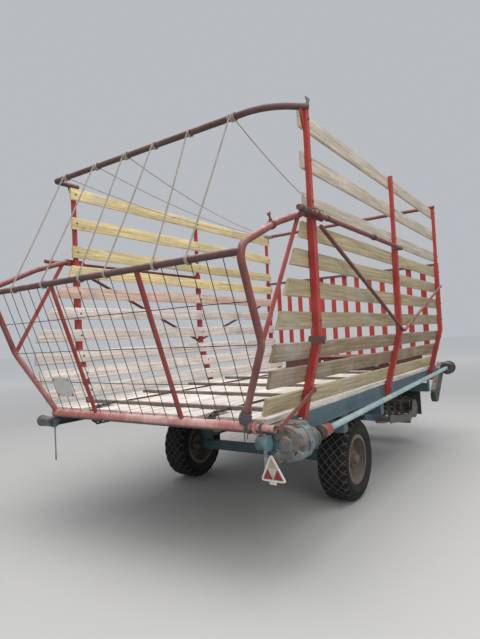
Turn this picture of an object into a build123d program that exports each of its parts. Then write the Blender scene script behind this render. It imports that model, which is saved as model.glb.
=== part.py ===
from build123d import *
from math import atan2, cos, degrees, pi, radians, sin, tan
import os

# A single-axle self-loading hay wagon of the 1970s. All lengths are millimetres.
# While it is drawn, X points to the right, Y to the towing eye, Z up, the ground
# is z = 0 and y = 0 is the line through the rear posts. At the end everything is
# shifted so that the origin lies on the ground under the middle of its box.

# Load space
POST_X = 1186.0            # post axis from the middle, above the knee
FOOT_X = 1048.0            # post axis at the foot
FRONT_WALL_Y = 3384.0      # line through the front posts
RAIL_LOW_Z = 780.0         # under side of the side rails
FOOT_Z = RAIL_LOW_Z        # lower end of a post
FOOT_TOP_Z = 880.0         # where the foot starts to lean outwards
KNEE_Z = 1383.0            # where the post turns upright
SOCKET_Z = 2185.0          # upper end of the lower posts
SOCKET_DEPTH = 120.0       # how far an upper post stands in a lower one
TOP_Z = 2846.0             # upper end of the upper posts
POST_Y = (0.0, FRONT_WALL_Y / 2 + 49, FRONT_WALL_Y)   # rear, middle and front posts
LOWER_POST = 48.0          # side of the square lower posts
UPPER_POST = 35.0          # side of the square upper posts
POST_EDGE = 5.0            # rounding of a post's edges
PLANK_HEIGHT = 108.0
PLANK_THICK = 22.0
PLANK_FRONT_GAP = 2.0      # planks end this far past the front posts

# One row for each plank of a side, from the top: where its upper edge lies, as a share of
# the way from the knee up to the top of the posts, then how far its upper and its lower
# corner reach behind the rear posts. Below the knee the share is of the way down to the foot.
PLANK_ROWS = (
    (0.9986, 50.0, 50.0),
    (0.8161, 50.0, 50.0),
    (0.6364, 50.0, 50.0),
    (0.5099, 70.0, 110.0),
    (0.3828, 180.0, 250.0),
    (0.2522, 280.0, 350.0),
    (0.1183, 400.0, 460.0),
    (-0.0437, 462.0, 480.0),
    (-0.3439, 460.0, 460.0),
    (-0.6521, 450.0, 450.0),
)

# Floor and chassis
RAIL_OUT = 1024.0          # outer face of a side rail
RAIL_TOP_Z = 900.0
RAIL_WIDTH = 60.0
RAIL_WALL = 6.0
RAIL_REAR_Y = -408.0
RAIL_FRONT_Y = FRONT_WALL_Y + 96
BOARD_THICK = 30.0
BOARD_WIDTH = 160.0
BOARD_PITCH = 164.0
BOARDS_PER_SIDE = 6
EDGE_BOARD_IN = 988.0      # inner face of the edge boards
EDGE_BOARD_THICK = 35.0
SILL_THICK = 12.0
SILL_HEIGHT = 30.0
CROSS_WIDTH = 50.0
CROSS_HEIGHT = 60.0
CROSS_WALL = 5.0
CROSS_FIRST_Y = 60.0
CROSS_CHANNELS = 5
BEAM_X = 650.0             # middle of the chassis beams
BEAM_WIDTH = 60.0
BEAM_LOW_Z = 620.0
BEAM_TOP_Z = 740.0
BEAM_REAR_Y = 640.0
BEAM_FRONT_Y = FRONT_WALL_Y + 116
OUTRIGGER_Y = (800.0, 1680.0, FRONT_WALL_Y + 56)
OUTRIGGER_WIDTH = 80.0
HANGER_THICK = 10.0
HANGER_X = 1000.0          # outer face of the hangers

# Scraper floor
LOOP_RADIUS = 60.0         # inside of a chain round its sprocket
LOOP_Z = RAIL_TOP_Z + BOARD_THICK - LOOP_RADIUS   # height of the two floor shafts
LOOP_REAR_Y = -300.0
LOOP_FRONT_Y = FRONT_WALL_Y - 584
CHAIN_THICK = 16.0
CHAIN_WIDTH = 26.0
CHAIN_X = 574.0
BAR_HEIGHT = 25.0
BAR_WIDTH = 44.0
BAR_HALF_LENGTH = 925.0
BAR_FIRST_Y = -130.0
BARS_PER_STRAND = 5
BAR_PITCH = (LOOP_FRONT_Y - 278 - BAR_FIRST_Y) / (BARS_PER_STRAND - 1)
SHAFT_RADIUS = 20.0
SEAT_GAP = 0.3             # between curved faces that rest on each other

# Feed channel in front of the floor
FEED_BACK_Y = FRONT_WALL_Y - 466   # rear wall of the channel at floor level
FEED_FRONT_Y = FRONT_WALL_Y - 12
FEED_SHEET = 5.0
FEED_HALF_WIDTH = BEAM_X - BEAM_WIDTH / 2 - FEED_SHEET   # channel between the beams
ROTOR_Y = FRONT_WALL_Y - 264
ROTOR_Z = 735.0
ROTOR_TIP = 150.0
FEED_LOW_Z = ROTOR_Z - 175
FEED_ROWS = 7              # rows of rotor tines and slots of the panel above them
FEED_PITCH = 190.0

# Axle and wheels
AXLE_Y = 1128.0
WHEEL_RADIUS = 340.0
TYRE_IN = 713.0            # inner side of a tyre from the middle
TYRE_WIDTH = 262.0
RIM_RADIUS = 205.0         # outer edge of the rim flange
BEAD_RADIUS = 190.0
AXLE_SIDE = 80.0
AXLE_HALF_LENGTH = 690.0
STUB_END_AXLE_X = 900.0
STUB_RADIUS = 25.0
RUNNING_GAP = 0.05         # radial clearance of a shaft in its bore

# Tailgate
HINGE_Y = -85.0
HINGE_Z = SOCKET_Z - 20
HINGE_PIN = 8.0            # radius
HINGE_PLATE = 8.0          # thickness of the hinge plates
GATE_X = 1170.0            # middle of the side tubes above the knee
GATE_TUBE = 21.0           # radius of the side tubes and the cross tube
GATE_TOP_Y = -825.0        # where the arm and the side tube would meet
GATE_TOP_Z = 1875.0
GATE_KNEE_X = 1160.0
GATE_KNEE_Y = -628.0
GATE_KNEE_Z = 1372.0
GATE_FOOT_X = 887.0
GATE_FOOT_Y = -446.0
GATE_FOOT_Z = 890.0
GATE_TOP_BEND = 100.0
GATE_KNEE_BEND = 110.0
BOTTOM_BAR = 31.0          # radius
BOTTOM_LEFT_X = -930.0
BOTTOM_RIGHT_X = 950.0
STUB_TUBE = 22.5           # radius of the latch stub
STUB_END_X = 1105.0
LATCH_Z = 1060.0           # pivot of the latch bar on the rear post
LATCH_GAP = 17.0
LATCH_THICK = 8.0
INNER_BAR_X = 420.0
INNER_BAR = 14.0
WIRE = 5.0                 # side of a mesh wire
WIRE_PITCH = 109.0
WIRE_OFFSET = 70.0         # of the first upright wire from the middle
WIRES_LEFT = 10
WIRES_RIGHT = 9
CROSS_WIRES = 3

# Pickup
PICKUP_PIVOT_Y = FRONT_WALL_Y - 864
PICKUP_PIVOT_Z = 430.0
PIVOT_RADIUS = 25.0
REEL_Y = FRONT_WALL_Y + 76
REEL_Z = 410.0
REEL_TIP = 200.0
REEL_HALF_WIDTH = 780.0
TINE_BAR_RADIUS = 100.0    # circle of the tine bars
BAND_RADIUS = 140.0        # inside of the stripper bands
BAND_WIDTH = 34.0
BAND_THICK = 4.0
TINE_PITCH = 78.0
TINES_PER_SIDE = 9
TINE_BARS = 4
TINE = 6.0
ARM_IN = REEL_HALF_WIDTH + 20
ARM_THICK = 12.0

# Drawbar, jack and drive
FRONT_CROSS_Y = BEAM_FRONT_Y
FRONT_CROSS_DEPTH = 60.0
DRAWBAR_LOW_Z = 640.0
DRAWBAR_TOP_Z = 740.0
DRAWBAR_WIDTH = 60.0
DRAWBAR_FRONT_X = 62.0
NOSE_Y = FRONT_WALL_Y + 1576
NOSE_LENGTH = 170.0
EYE_Y = NOSE_Y + 330
EYE_HOLE = 20.0            # radius
EYE_OUT = 50.0
EYE_THICK = 30.0
JACK_Y = NOSE_Y - 400
JACK_OUT = 38.0
JACK_LEG = 30.0
JACK_SLEEVE_LOW_Z = 350.0
JACK_SLEEVE_TOP_Z = 820.0
JACK_LEG_TOP_Z = 490.0
JACK_FOOT = 90.0           # radius
SHAFT_X = 1120.0           # long drive shaft on the right
SHAFT_REAR_Y = 207.0
SHAFT_REAR_Z = 772.0
SHAFT_FRONT_Y = FRONT_WALL_Y + 501
SHAFT_FRONT_Z = 877.0
DRIVE_TUBE = 22.0
PTO_RADIUS = 17.4
INPUT_Z = 870.0            # height of the input shaft
GEARBOX_X = 1135.0         # middle of the round rear gearbox
GEARBOX_Z = 795.0
GEARBOX_RADIUS = 105.0
COUPLING = 38.0            # radius
COUPLING_LENGTH = 185.0
APRON_Y = FRONT_CROSS_Y + 200   # bar that carries the apron
APRON_BAR = 14.0           # radius
APRON_HALF_WIDTH = 820.0
APRON_THICK = 7.7
APRON_LOW_Z = 300.0

# Bars and tubes of the upper frame
MID_RAIL = 17.0            # radius
MID_RAIL_Z = HINGE_Z - 5
MID_RAIL_REAR_Y = -277.0
BRACE = 14.0               # radius
BRACE_REAR_TOP_Z = SOCKET_Z - 85
BRACE_FRONT_TOP_Z = SOCKET_Z - 280
BRACE_LOW_Z = KNEE_Z + 19
TOP_BAR = 22.0             # radius of the bow and the front bar
BOW_Y = -190.0
WALL_RAIL = 30.0           # side of the front wall's rails
WALL_TOP_Z = SOCKET_Z - 35
WALL_LOW_Z = 1075.0
SLATS = 13
SLAT_PITCH = 170.0
SLAT_WIDTH = 64.0
SLAT_THICK = 7.0
SLOT_WIDTH = 44.0          # slots of the feed panel

PARTS = {}
BRACKETS = []              # plates under the right beam, gathered for one node


def box(x0, x1, y0, y1, z0, z1):
    """A block between two corners."""
    size = Box(abs(x1 - x0), abs(y1 - y0), abs(z1 - z0))
    return Pos((x0 + x1) / 2, (y0 + y1) / 2, (z0 + z1) / 2) * size


def rod(a, b, radius):
    """A round bar from point a to point b."""
    a, b = Vector(*a), Vector(*b)
    plane = Plane(origin=a, z_dir=b - a)
    low = (Align.CENTER, Align.CENTER, Align.MIN)
    return plane * Cylinder(radius, (b - a).length, align=low)


def flat(a, b, width, thick, side=(1, 0, 0)):
    """A flat bar from a to b, thick along side and wide across it."""
    a, b = Vector(*a), Vector(*b)
    plane = Plane(origin=a, x_dir=Vector(*side), z_dir=b - a)
    low = (Align.CENTER, Align.CENTER, Align.MIN)
    return plane * Box(thick, width, (b - a).length, align=low)


def bent(points, bends, radius):
    """A round tube along straight runs joined by arcs."""
    path = FilletPolyline(*points, radius=bends)
    return sweep(Plane(origin=path @ 0, z_dir=path % 0) * Circle(radius), path=path)


def along_x(face, x0, x1):
    """A profile drawn in Y and Z, drawn out from x0 to x1."""
    return Pos(x0, 0, 0) * extrude(Plane.YZ * face, amount=x1 - x0)


def mirrored(shape):
    """The same shape on the left side."""
    return mirror(shape, about=Plane.YZ)


def both(shapes):
    """Shapes of the right side, followed by the same ones on the left."""
    return list(shapes) + [mirrored(shape) for shape in shapes]


def keep(name, *solids):
    """Store the solids of one piece under its name."""
    PARTS[name] = [solid for group in solids for solid in group.solids()]


LEAN = atan2(POST_X - FOOT_X, KNEE_Z - FOOT_TOP_Z)


def post_x(z):
    """Distance of a post's axis from the middle at height z."""
    if z >= KNEE_Z:
        return POST_X
    if z <= FOOT_TOP_Z:
        return FOOT_X
    return FOOT_X + (z - FOOT_TOP_Z) * tan(LEAN)


def lower_post(y):
    """A square tube that leans outwards and then stands upright, with a socket on top."""
    path = FilletPolyline(
        (FOOT_X, y, FOOT_Z), (FOOT_X, y, FOOT_TOP_Z), (POST_X, y, KNEE_Z), (POST_X, y, SOCKET_Z),
        radius=60.0)
    profile = Plane(origin=path @ 0, z_dir=(0, 0, 1)) * RectangleRounded(LOWER_POST, LOWER_POST, POST_EDGE)
    post = sweep(profile, path=path)
    socket = UPPER_POST + 2 * SEAT_GAP
    half = socket / 2
    return post - box(POST_X - half, POST_X + half, y - half, y + half, SOCKET_Z - SOCKET_DEPTH, SOCKET_Z + 1)


def upper_post(y):
    """A thinner square tube that stands in the socket of the lower post."""
    low = SOCKET_Z - SOCKET_DEPTH + SEAT_GAP
    profile = Pos(POST_X, y, low) * RectangleRounded(UPPER_POST, UPPER_POST, POST_EDGE)
    return extrude(profile, amount=TOP_Z - low)


def plank(row):
    """One side board of the right side, cut at the slant of its rear end."""
    share, rear_top, rear_low = row
    reach = TOP_Z - KNEE_Z if share > 0 else KNEE_Z - FOOT_TOP_Z
    top = KNEE_Z + share * reach
    low = top - PLANK_HEIGHT
    front = POST_Y[2] + LOWER_POST / 2 + PLANK_FRONT_GAP
    outline = Polyline((-rear_low, low), (front, low), (front, top), (-rear_top, top), close=True)
    post_side = UPPER_POST if low > SOCKET_Z else LOWER_POST
    middle = (top + low) / 2
    if top > KNEE_Z:
        return along_x(make_face(outline), POST_X - post_side / 2 - PLANK_THICK, POST_X - post_side / 2)
    board = along_x(make_face(outline), -post_side / 2 - PLANK_THICK, -post_side / 2)
    return Pos(post_x(middle), 0, middle) * Rot(0, degrees(LEAN), 0) * Pos(0, 0, -middle) * board


def make_sides():
    """Posts, planks and outer bracing of both sides."""
    lower = [lower_post(y) for y in POST_Y]
    upper = [upper_post(y) for y in POST_Y]
    boards = [plank(row) for row in PLANK_ROWS]
    out = POST_X + LOWER_POST / 2
    rail_x = out + HINGE_PLATE + 6 + MID_RAIL
    brace_x = out + BRACE
    low, top = MID_RAIL_Z - BRACE, MID_RAIL_Z + BRACE
    rail = rod((rail_x, MID_RAIL_REAR_Y, MID_RAIL_Z), (rail_x, POST_Y[1] + 20, MID_RAIL_Z), MID_RAIL)
    rail += box(out + HINGE_PLATE, rail_x, -20, 20, low, top)
    rail += box(out, rail_x, POST_Y[1] - 20, POST_Y[1] + 20, low, top)
    rear = rod((brace_x, 55, BRACE_REAR_TOP_Z), (brace_x, POST_Y[1] - 5, BRACE_LOW_Z), BRACE)
    front = rod((brace_x, POST_Y[2] + 5, BRACE_FRONT_TOP_Z), (brace_x, POST_Y[1] + 30, BRACE_LOW_Z), BRACE)
    keep("lower_posts", *both(lower))
    keep("upper_posts", *both(upper))
    keep("planks_right", *boards)
    keep("planks_left", *[mirrored(board) for board in boards])
    keep("side_braces", *both([rail, rear, front]))


def make_top():
    """The bent bow over the rear posts and the straight bar over the front posts."""
    z = TOP_Z + TOP_BAR
    left_x = -(POST_X - 12)
    bow = bent(
        [(left_x, 45, z), (left_x, BOW_Y, z), (POST_X - 176, BOW_Y, z), (POST_X + 19, 5, z)],
        [30.0, 400.0], TOP_BAR)
    keep("rear_bow", bow)
    bar = rod((-POST_X - 20, POST_Y[2], z), (POST_X + 20, POST_Y[2], z), TOP_BAR)
    keep("front_bar", bar)


def rail_profile():
    """A channel open towards the middle, in X and Z."""
    inside = RAIL_OUT - RAIL_WIDTH
    web = RAIL_OUT - RAIL_WALL
    return Polyline(
        (inside, RAIL_LOW_Z), (RAIL_OUT, RAIL_LOW_Z), (RAIL_OUT, RAIL_TOP_Z), (inside, RAIL_TOP_Z),
        (inside, RAIL_TOP_Z - RAIL_WALL), (web, RAIL_TOP_Z - RAIL_WALL), (web, RAIL_LOW_Z + RAIL_WALL),
        (inside, RAIL_LOW_Z + RAIL_WALL), close=True)


def drawn_y(outline, y0, y1):
    """An outline in X and Z, drawn out from y0 to y1."""
    return Pos(0, y1, 0) * extrude(Plane.XZ * make_face(outline), amount=y1 - y0)


def make_floor():
    """Side rails, cross channels, boards and the sill under the tailgate."""
    rail = drawn_y(rail_profile(), RAIL_REAR_Y, RAIL_FRONT_Y)
    keep("side_rails", rail, mirrored(rail))
    inside = RAIL_OUT - RAIL_WIDTH
    low = RAIL_TOP_Z - CROSS_HEIGHT
    channels = []
    pitch = (LOOP_FRONT_Y - 420 - CROSS_FIRST_Y) / (CROSS_CHANNELS - 1)
    for number in range(CROSS_CHANNELS):
        y = CROSS_FIRST_Y + number * pitch
        solid = box(-inside, inside, y - CROSS_WIDTH / 2, y + CROSS_WIDTH / 2, low, RAIL_TOP_Z)
        half = CROSS_WIDTH / 2 - CROSS_WALL
        channels.append(solid - box(-inside, inside, y - half, y + half, low, RAIL_TOP_Z - CROSS_WALL))
    sill = box(-inside, inside, RAIL_REAR_Y, RAIL_REAR_Y + SILL_THICK, RAIL_TOP_Z - SILL_HEIGHT, RAIL_TOP_Z)
    front_sill = box(-inside, inside, FRONT_WALL_Y + SILL_THICK, FRONT_WALL_Y + 50, RAIL_LOW_Z, RAIL_TOP_Z)
    keep("cross_channels", *channels, sill, front_sill)
    boards = []
    for side in (-1, 1):
        for number in range(BOARDS_PER_SIDE):
            middle = side * (BOARD_PITCH / 2 + number * BOARD_PITCH)
            rear, front = RAIL_REAR_Y, FEED_BACK_Y - 12
            if abs(abs(middle) - CHAIN_X) < BOARD_WIDTH / 2:
                rear, front = LOOP_REAR_Y + LOOP_RADIUS + 20, LOOP_FRONT_Y - LOOP_RADIUS - 20
            if abs(middle) - BOARD_WIDTH / 2 > FEED_HALF_WIDTH:
                front = FEED_FRONT_Y
            half = BOARD_WIDTH / 2
            boards.append(box(middle - half, middle + half, rear, front, RAIL_TOP_Z, RAIL_TOP_Z + BOARD_THICK))
    edge = box(EDGE_BOARD_IN, RAIL_OUT, RAIL_REAR_Y, RAIL_FRONT_Y, RAIL_TOP_Z, RAIL_TOP_Z + EDGE_BOARD_THICK)
    keep("floor_boards", *boards, edge, mirrored(edge))


def make_scraper():
    """Two endless chains round the floor with crosswise bars, and their shafts."""
    reach = LOOP_FRONT_Y - LOOP_REAR_Y
    middle_y = (LOOP_FRONT_Y + LOOP_REAR_Y) / 2
    outer_radius = LOOP_RADIUS + CHAIN_THICK
    outer = SlotCenterToCenter(reach, 2 * outer_radius)
    inner = SlotCenterToCenter(reach, 2 * LOOP_RADIUS)
    loop = along_x(Pos(middle_y, LOOP_Z) * (outer - inner), CHAIN_X - CHAIN_WIDTH / 2, CHAIN_X + CHAIN_WIDTH / 2)
    chains = [loop, mirrored(loop)]
    keep("floor_chains", *chains)
    bars = []
    half = BAR_WIDTH / 2
    for number in range(BARS_PER_STRAND):
        y = BAR_FIRST_Y + number * BAR_PITCH
        for low in (LOOP_Z + LOOP_RADIUS, LOOP_Z - LOOP_RADIUS - BAR_HEIGHT):
            bar = box(-BAR_HALF_LENGTH, BAR_HALF_LENGTH, y - half, y + half, low, low + BAR_HEIGHT)
            bars.append(bar - chains)
    keep("scraper_bars", *bars)
    shafts = []
    for y in (LOOP_REAR_Y, LOOP_FRONT_Y):
        end = RAIL_OUT - RAIL_WALL
        shaft = rod((-end, y, LOOP_Z), (end, y, LOOP_Z), SHAFT_RADIUS)
        for side in (-1, 1):
            x = side * CHAIN_X
            shaft += rod((x - 10, y, LOOP_Z), (x + 10, y, LOOP_Z), LOOP_RADIUS - SEAT_GAP)
        shafts.append(shaft)
    keep("floor_shafts", *shafts)


def make_chassis():
    """Long beams, outriggers with hangers to the side rails, and the drawbar."""
    half = BEAM_WIDTH / 2
    beam = box(BEAM_X - half, BEAM_X + half, BEAM_REAR_Y, BEAM_FRONT_Y, BEAM_LOW_Z, BEAM_TOP_Z)
    keep("chassis_beams", beam, mirrored(beam))
    pieces = []
    low, top = BEAM_LOW_Z + 10, BEAM_TOP_Z - 10
    for y in OUTRIGGER_Y:
        y0, y1 = y - OUTRIGGER_WIDTH / 2, y + OUTRIGGER_WIDTH / 2
        pieces.append(box(-BEAM_X + half, BEAM_X - half, y0, y1, low, top))
        arm = box(BEAM_X + half, HANGER_X, y0, y1, low, top)
        arm += box(HANGER_X - HANGER_THICK, HANGER_X, y0, y1, low, RAIL_LOW_Z)
        pieces += [arm, mirrored(arm)]
    cross = box(-BEAM_X - half, BEAM_X + half, FRONT_CROSS_Y, FRONT_CROSS_Y + FRONT_CROSS_DEPTH,
                BEAM_LOW_Z, BEAM_TOP_Z)
    keep("cross_members", *pieces, cross)
    nose = box(-DRAWBAR_FRONT_X - 40, DRAWBAR_FRONT_X + 40, NOSE_Y, NOSE_Y + NOSE_LENGTH,
               DRAWBAR_LOW_Z + 10, DRAWBAR_TOP_Z - 10)
    middle = (DRAWBAR_LOW_Z + DRAWBAR_TOP_Z) / 2
    shank = rod((0, NOSE_Y + NOSE_LENGTH - 5, middle), (0, EYE_Y - EYE_HOLE - 8, middle), 22.0)
    ring = Pos(0, EYE_Y, middle) * Cylinder(EYE_OUT, EYE_THICK)
    ring = fillet(ring.edges(), 10.0)
    hole = Pos(0, EYE_Y, middle) * Cylinder(EYE_HOLE, 2 * EYE_THICK)
    keep("tow_eye", nose + shank + ring - hole)
    height = DRAWBAR_TOP_Z - DRAWBAR_LOW_Z
    arm = flat((BEAM_X - 40, FRONT_CROSS_Y, middle), (DRAWBAR_FRONT_X, NOSE_Y + 20, middle),
               DRAWBAR_WIDTH, height, side=(0, 0, 1))
    arm = (arm - cross - nose).solids().sort_by(SortBy.VOLUME)[-1]
    keep("drawbar_beams", arm, mirrored(arm))


def make_axle():
    """A square axle with round stubs, hung from the chassis beams by two brackets."""
    half = AXLE_SIDE / 2
    z = WHEEL_RADIUS
    beam = box(-AXLE_HALF_LENGTH, AXLE_HALF_LENGTH, AXLE_Y - half, AXLE_Y + half, z - half, z + half)
    for side in (-1, 1):
        beam += rod((side * AXLE_HALF_LENGTH, AXLE_Y, z), (side * STUB_END_AXLE_X, AXLE_Y, z), STUB_RADIUS)
    keep("axle", beam)
    outline = Polyline(
        (AXLE_Y - 45, z + half), (AXLE_Y + 45, z + half), (AXLE_Y + 150, BEAM_LOW_Z),
        (AXLE_Y - 150, BEAM_LOW_Z), close=True)
    bracket = along_x(make_face(outline), BEAM_X - 20, BEAM_X + 20)
    BRACKETS.append(bracket)


def tyre_profile():
    """Half section of a tyre, drawn with the wheel axis along Z of the sketch plane."""
    w = TYRE_WIDTH / 2
    crown = WHEEL_RADIUS
    shoulder = WHEEL_RADIUS - 26
    belly = (WHEEL_RADIUS + BEAD_RADIUS) / 2
    seat = w - 31
    lip = RIM_RADIUS + 2
    upper = ThreePointArc((w - 22, shoulder), (w, belly), (seat + 10, lip))
    crown_line = Polyline((-w + 22, shoulder), (-w + 34, crown), (w - 34, crown), (w - 22, shoulder))
    lower = ThreePointArc((-seat - 10, lip), (-w, belly), (-w + 22, shoulder))
    base = Polyline((seat + 10, lip), (seat, lip), (seat, BEAD_RADIUS), (-seat, BEAD_RADIUS), (-seat, lip),
                    (-seat - 10, lip))
    return make_face([crown_line, upper, base, lower])


def turned(face, x, y, z):
    """A section in (x, radius), turned about the X axis through x, y, z."""
    solid = revolve(face, axis=Axis.X, revolution_arc=360)
    return Pos(x, y, z) * solid


def make_wheels():
    """Tyre and rim with hub of each side."""
    middle = TYRE_IN + TYRE_WIDTH / 2
    tyre = turned(tyre_profile(), middle, AXLE_Y, WHEEL_RADIUS)
    seat = TYRE_WIDTH / 2 - 31
    bore = STUB_RADIUS + RUNNING_GAP
    rim_outline = Polyline(
        (-seat - 8, RIM_RADIUS), (-seat - SEAT_GAP, RIM_RADIUS), (-seat - SEAT_GAP, BEAD_RADIUS - SEAT_GAP),
        (seat + SEAT_GAP, BEAD_RADIUS - SEAT_GAP), (seat + SEAT_GAP, RIM_RADIUS), (seat + 8, RIM_RADIUS),
        (seat + 8, BEAD_RADIUS - 14), (18, BEAD_RADIUS - 22), (10, 130), (34, 90), (34, 70), (78, 62),
        (78, bore), (-50, bore), (-50, 70), (22, 76), (22, 96), (-2, 134), (-2, BEAD_RADIUS - 22),
        (-seat - 8, BEAD_RADIUS - 14), close=True)
    rim = turned(make_face(rim_outline), middle, AXLE_Y, WHEEL_RADIUS)
    keep("tyre_right", tyre)
    keep("tyre_left", mirrored(tyre))
    keep("rim_right", rim)
    keep("rim_left", mirrored(rim))


def make_front_wall():
    """Rails and upright slats of the front wall, with the slotted feed panel below."""
    y = POST_Y[2]
    half = WALL_RAIL / 2
    inner = POST_X - LOWER_POST / 2
    top = box(-inner, inner, y - half, y + half, WALL_TOP_Z, WALL_TOP_Z + WALL_RAIL)
    outer = post_x(WALL_LOW_Z)
    low = box(-outer, outer, y - half, y + half, WALL_LOW_Z, WALL_LOW_Z + WALL_RAIL) - PARTS["lower_posts"]
    keep("front_rails", top, low)
    slats = []
    for number in range(SLATS):
        x = (number - (SLATS - 1) / 2) * SLAT_PITCH
        slats.append(box(x - SLAT_WIDTH / 2, x + SLAT_WIDTH / 2, y + half, y + half + SLAT_THICK,
                         WALL_LOW_Z + 3, WALL_TOP_Z + 22))
    keep("front_slats", *slats)
    reach = RAIL_OUT - RAIL_WIDTH - 6
    panel = box(-reach, reach, y - 3, y + 3, RAIL_TOP_Z - 30, WALL_LOW_Z)
    for number in range(FEED_ROWS):
        x = (number - (FEED_ROWS - 1) / 2) * FEED_PITCH
        panel -= box(x - SLOT_WIDTH / 2, x + SLOT_WIDTH / 2, y - 10, y + 10, RAIL_TOP_Z + 5, WALL_LOW_Z - 45)
    keep("feed_panel", panel)


def make_feed():
    """Side plates and curved rear plate of the feed channel, with its tined rotor."""
    outer = FEED_HALF_WIDTH + FEED_SHEET
    plates = []
    outline = Polyline(
        (FEED_BACK_Y - FEED_SHEET, RAIL_TOP_Z), (FEED_FRONT_Y, RAIL_TOP_Z), (FEED_FRONT_Y, ROTOR_Z - 95),
        (ROTOR_Y + 60, FEED_LOW_Z), (FEED_BACK_Y - 158, FEED_LOW_Z), (FEED_BACK_Y - 158, ROTOR_Z - 35),
        close=True)
    plate = along_x(make_face(outline), FEED_HALF_WIDTH, outer)
    plate -= rod((FEED_HALF_WIDTH - 1, ROTOR_Y, ROTOR_Z), (outer + 1, ROTOR_Y, ROTOR_Z), SHAFT_RADIUS + RUNNING_GAP)
    back = Polyline(
        (FEED_BACK_Y, RAIL_TOP_Z - 1), (FEED_BACK_Y - 38, ROTOR_Z + 25), (FEED_BACK_Y - 118, ROTOR_Z - 95),
        (FEED_BACK_Y - 238, FEED_LOW_Z), (FEED_BACK_Y - 238, FEED_LOW_Z + FEED_SHEET),
        (FEED_BACK_Y - 121, ROTOR_Z - 91), (FEED_BACK_Y - 43, ROTOR_Z + 27),
        (FEED_BACK_Y - FEED_SHEET, RAIL_TOP_Z - 1), close=True)
    sheet = along_x(make_face(back), -FEED_HALF_WIDTH, FEED_HALF_WIDTH)
    keep("feed_channel", plate + mirrored(plate) + sheet)
    drum_end = FEED_HALF_WIDTH - 10
    core = rod((-drum_end, ROTOR_Y, ROTOR_Z), (drum_end, ROTOR_Y, ROTOR_Z), 55.0)
    shaft_end = outer - 0.5
    core += rod((-shaft_end, ROTOR_Y, ROTOR_Z), (shaft_end, ROTOR_Y, ROTOR_Z), SHAFT_RADIUS)
    for number in range(FEED_ROWS):
        x = (number - (FEED_ROWS - 1) / 2) * FEED_PITCH
        for k in range(3):
            angle = radians(120 * k + 15 * number)
            tip = (x, ROTOR_Y + ROTOR_TIP * cos(angle), ROTOR_Z + ROTOR_TIP * sin(angle))
            core += flat((x, ROTOR_Y, ROTOR_Z), tip, 40.0, 10.0)
    keep("feed_rotor", core)


def make_pickup():
    """Swinging frame, stripper bands and the reel with its tines."""
    arm_out = ARM_IN + ARM_THICK
    arm_x = ARM_IN + ARM_THICK / 2
    knee = (arm_x, REEL_Y - 230, REEL_Z - 75)
    arm = flat((arm_x, PICKUP_PIVOT_Y, PICKUP_PIVOT_Z), knee, 80.0, ARM_THICK)
    arm += rod((ARM_IN, knee[1], knee[2]), (arm_out, knee[1], knee[2]), 40.0)
    arm += flat(knee, (arm_x, REEL_Y, REEL_Z), 80.0, ARM_THICK)
    for y, z, r in ((PICKUP_PIVOT_Y, PICKUP_PIVOT_Z, 45.0), (REEL_Y, REEL_Z, 110.0)):
        arm += rod((ARM_IN, y, z), (arm_out, y, z), r)
    arm -= rod((ARM_IN - 1, REEL_Y, REEL_Z), (arm_out + 1, REEL_Y, REEL_Z), SHAFT_RADIUS + RUNNING_GAP)
    tie = REEL_Y - REEL_TIP - 10
    beam_z = REEL_Z - BAND_RADIUS + 30
    arm += box(ARM_IN, arm_out, tie - 40, tie, beam_z - 30, REEL_Z)
    arms = arm + mirrored(arm)
    pivot = rod((-ARM_IN, PICKUP_PIVOT_Y, PICKUP_PIVOT_Z), (ARM_IN, PICKUP_PIVOT_Y, PICKUP_PIVOT_Z), PIVOT_RADIUS)
    frame = arms + pivot + box(-ARM_IN, ARM_IN, tie - 40, tie, beam_z - 30, beam_z + 30)
    keep("pickup_frame", frame)
    outer_radius = BAND_RADIUS + BAND_THICK
    strips = [box(-ARM_IN + 1, ARM_IN - 1, tie, tie + BAND_THICK, z - 18, z + 18)
              for z in (beam_z, REEL_Z + BAND_RADIUS - 18)]
    middle = (REEL_Y + tie) / 2
    length = REEL_Y - tie
    outer = Circle(outer_radius) + Pos(middle - REEL_Y, 0) * Rectangle(length, 2 * outer_radius)
    inner = Circle(BAND_RADIUS) + Pos(middle - REEL_Y + BAND_THICK, 0) * Rectangle(length, 2 * BAND_RADIUS)
    hoop = Pos(REEL_Y, REEL_Z) * (outer - inner)
    hoops = []
    for number in range(2 * TINES_PER_SIDE + 1):
        x = (number - TINES_PER_SIDE) * TINE_PITCH
        hoops.append(along_x(hoop, x - BAND_WIDTH / 2, x + BAND_WIDTH / 2))
    keep("stripper_bands", strips[0] + strips[1] + hoops)
    reel = rod((-arm_out, REEL_Y, REEL_Z), (arm_out, REEL_Y, REEL_Z), SHAFT_RADIUS)
    for x in (-REEL_HALF_WIDTH + 6, 0, REEL_HALF_WIDTH - 6):
        reel += rod((x - 4, REEL_Y, REEL_Z), (x + 4, REEL_Y, REEL_Z), TINE_BAR_RADIUS + 14)
    for k in range(TINE_BARS):
        angle = 2 * pi * k / TINE_BARS + 0.4
        y = REEL_Y + TINE_BAR_RADIUS * cos(angle)
        z = REEL_Z + TINE_BAR_RADIUS * sin(angle)
        reel += rod((-REEL_HALF_WIDTH, y, z), (REEL_HALF_WIDTH, y, z), 12.0)
        for number in range(2 * TINES_PER_SIDE):
            x = (number - TINES_PER_SIDE + 0.5) * TINE_PITCH
            tip = (x, REEL_Y + REEL_TIP * cos(angle - 0.12), REEL_Z + REEL_TIP * sin(angle - 0.12))
            reel += flat((x, y, z), tip, TINE, TINE)
    keep("pickup_reel", reel)


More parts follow.
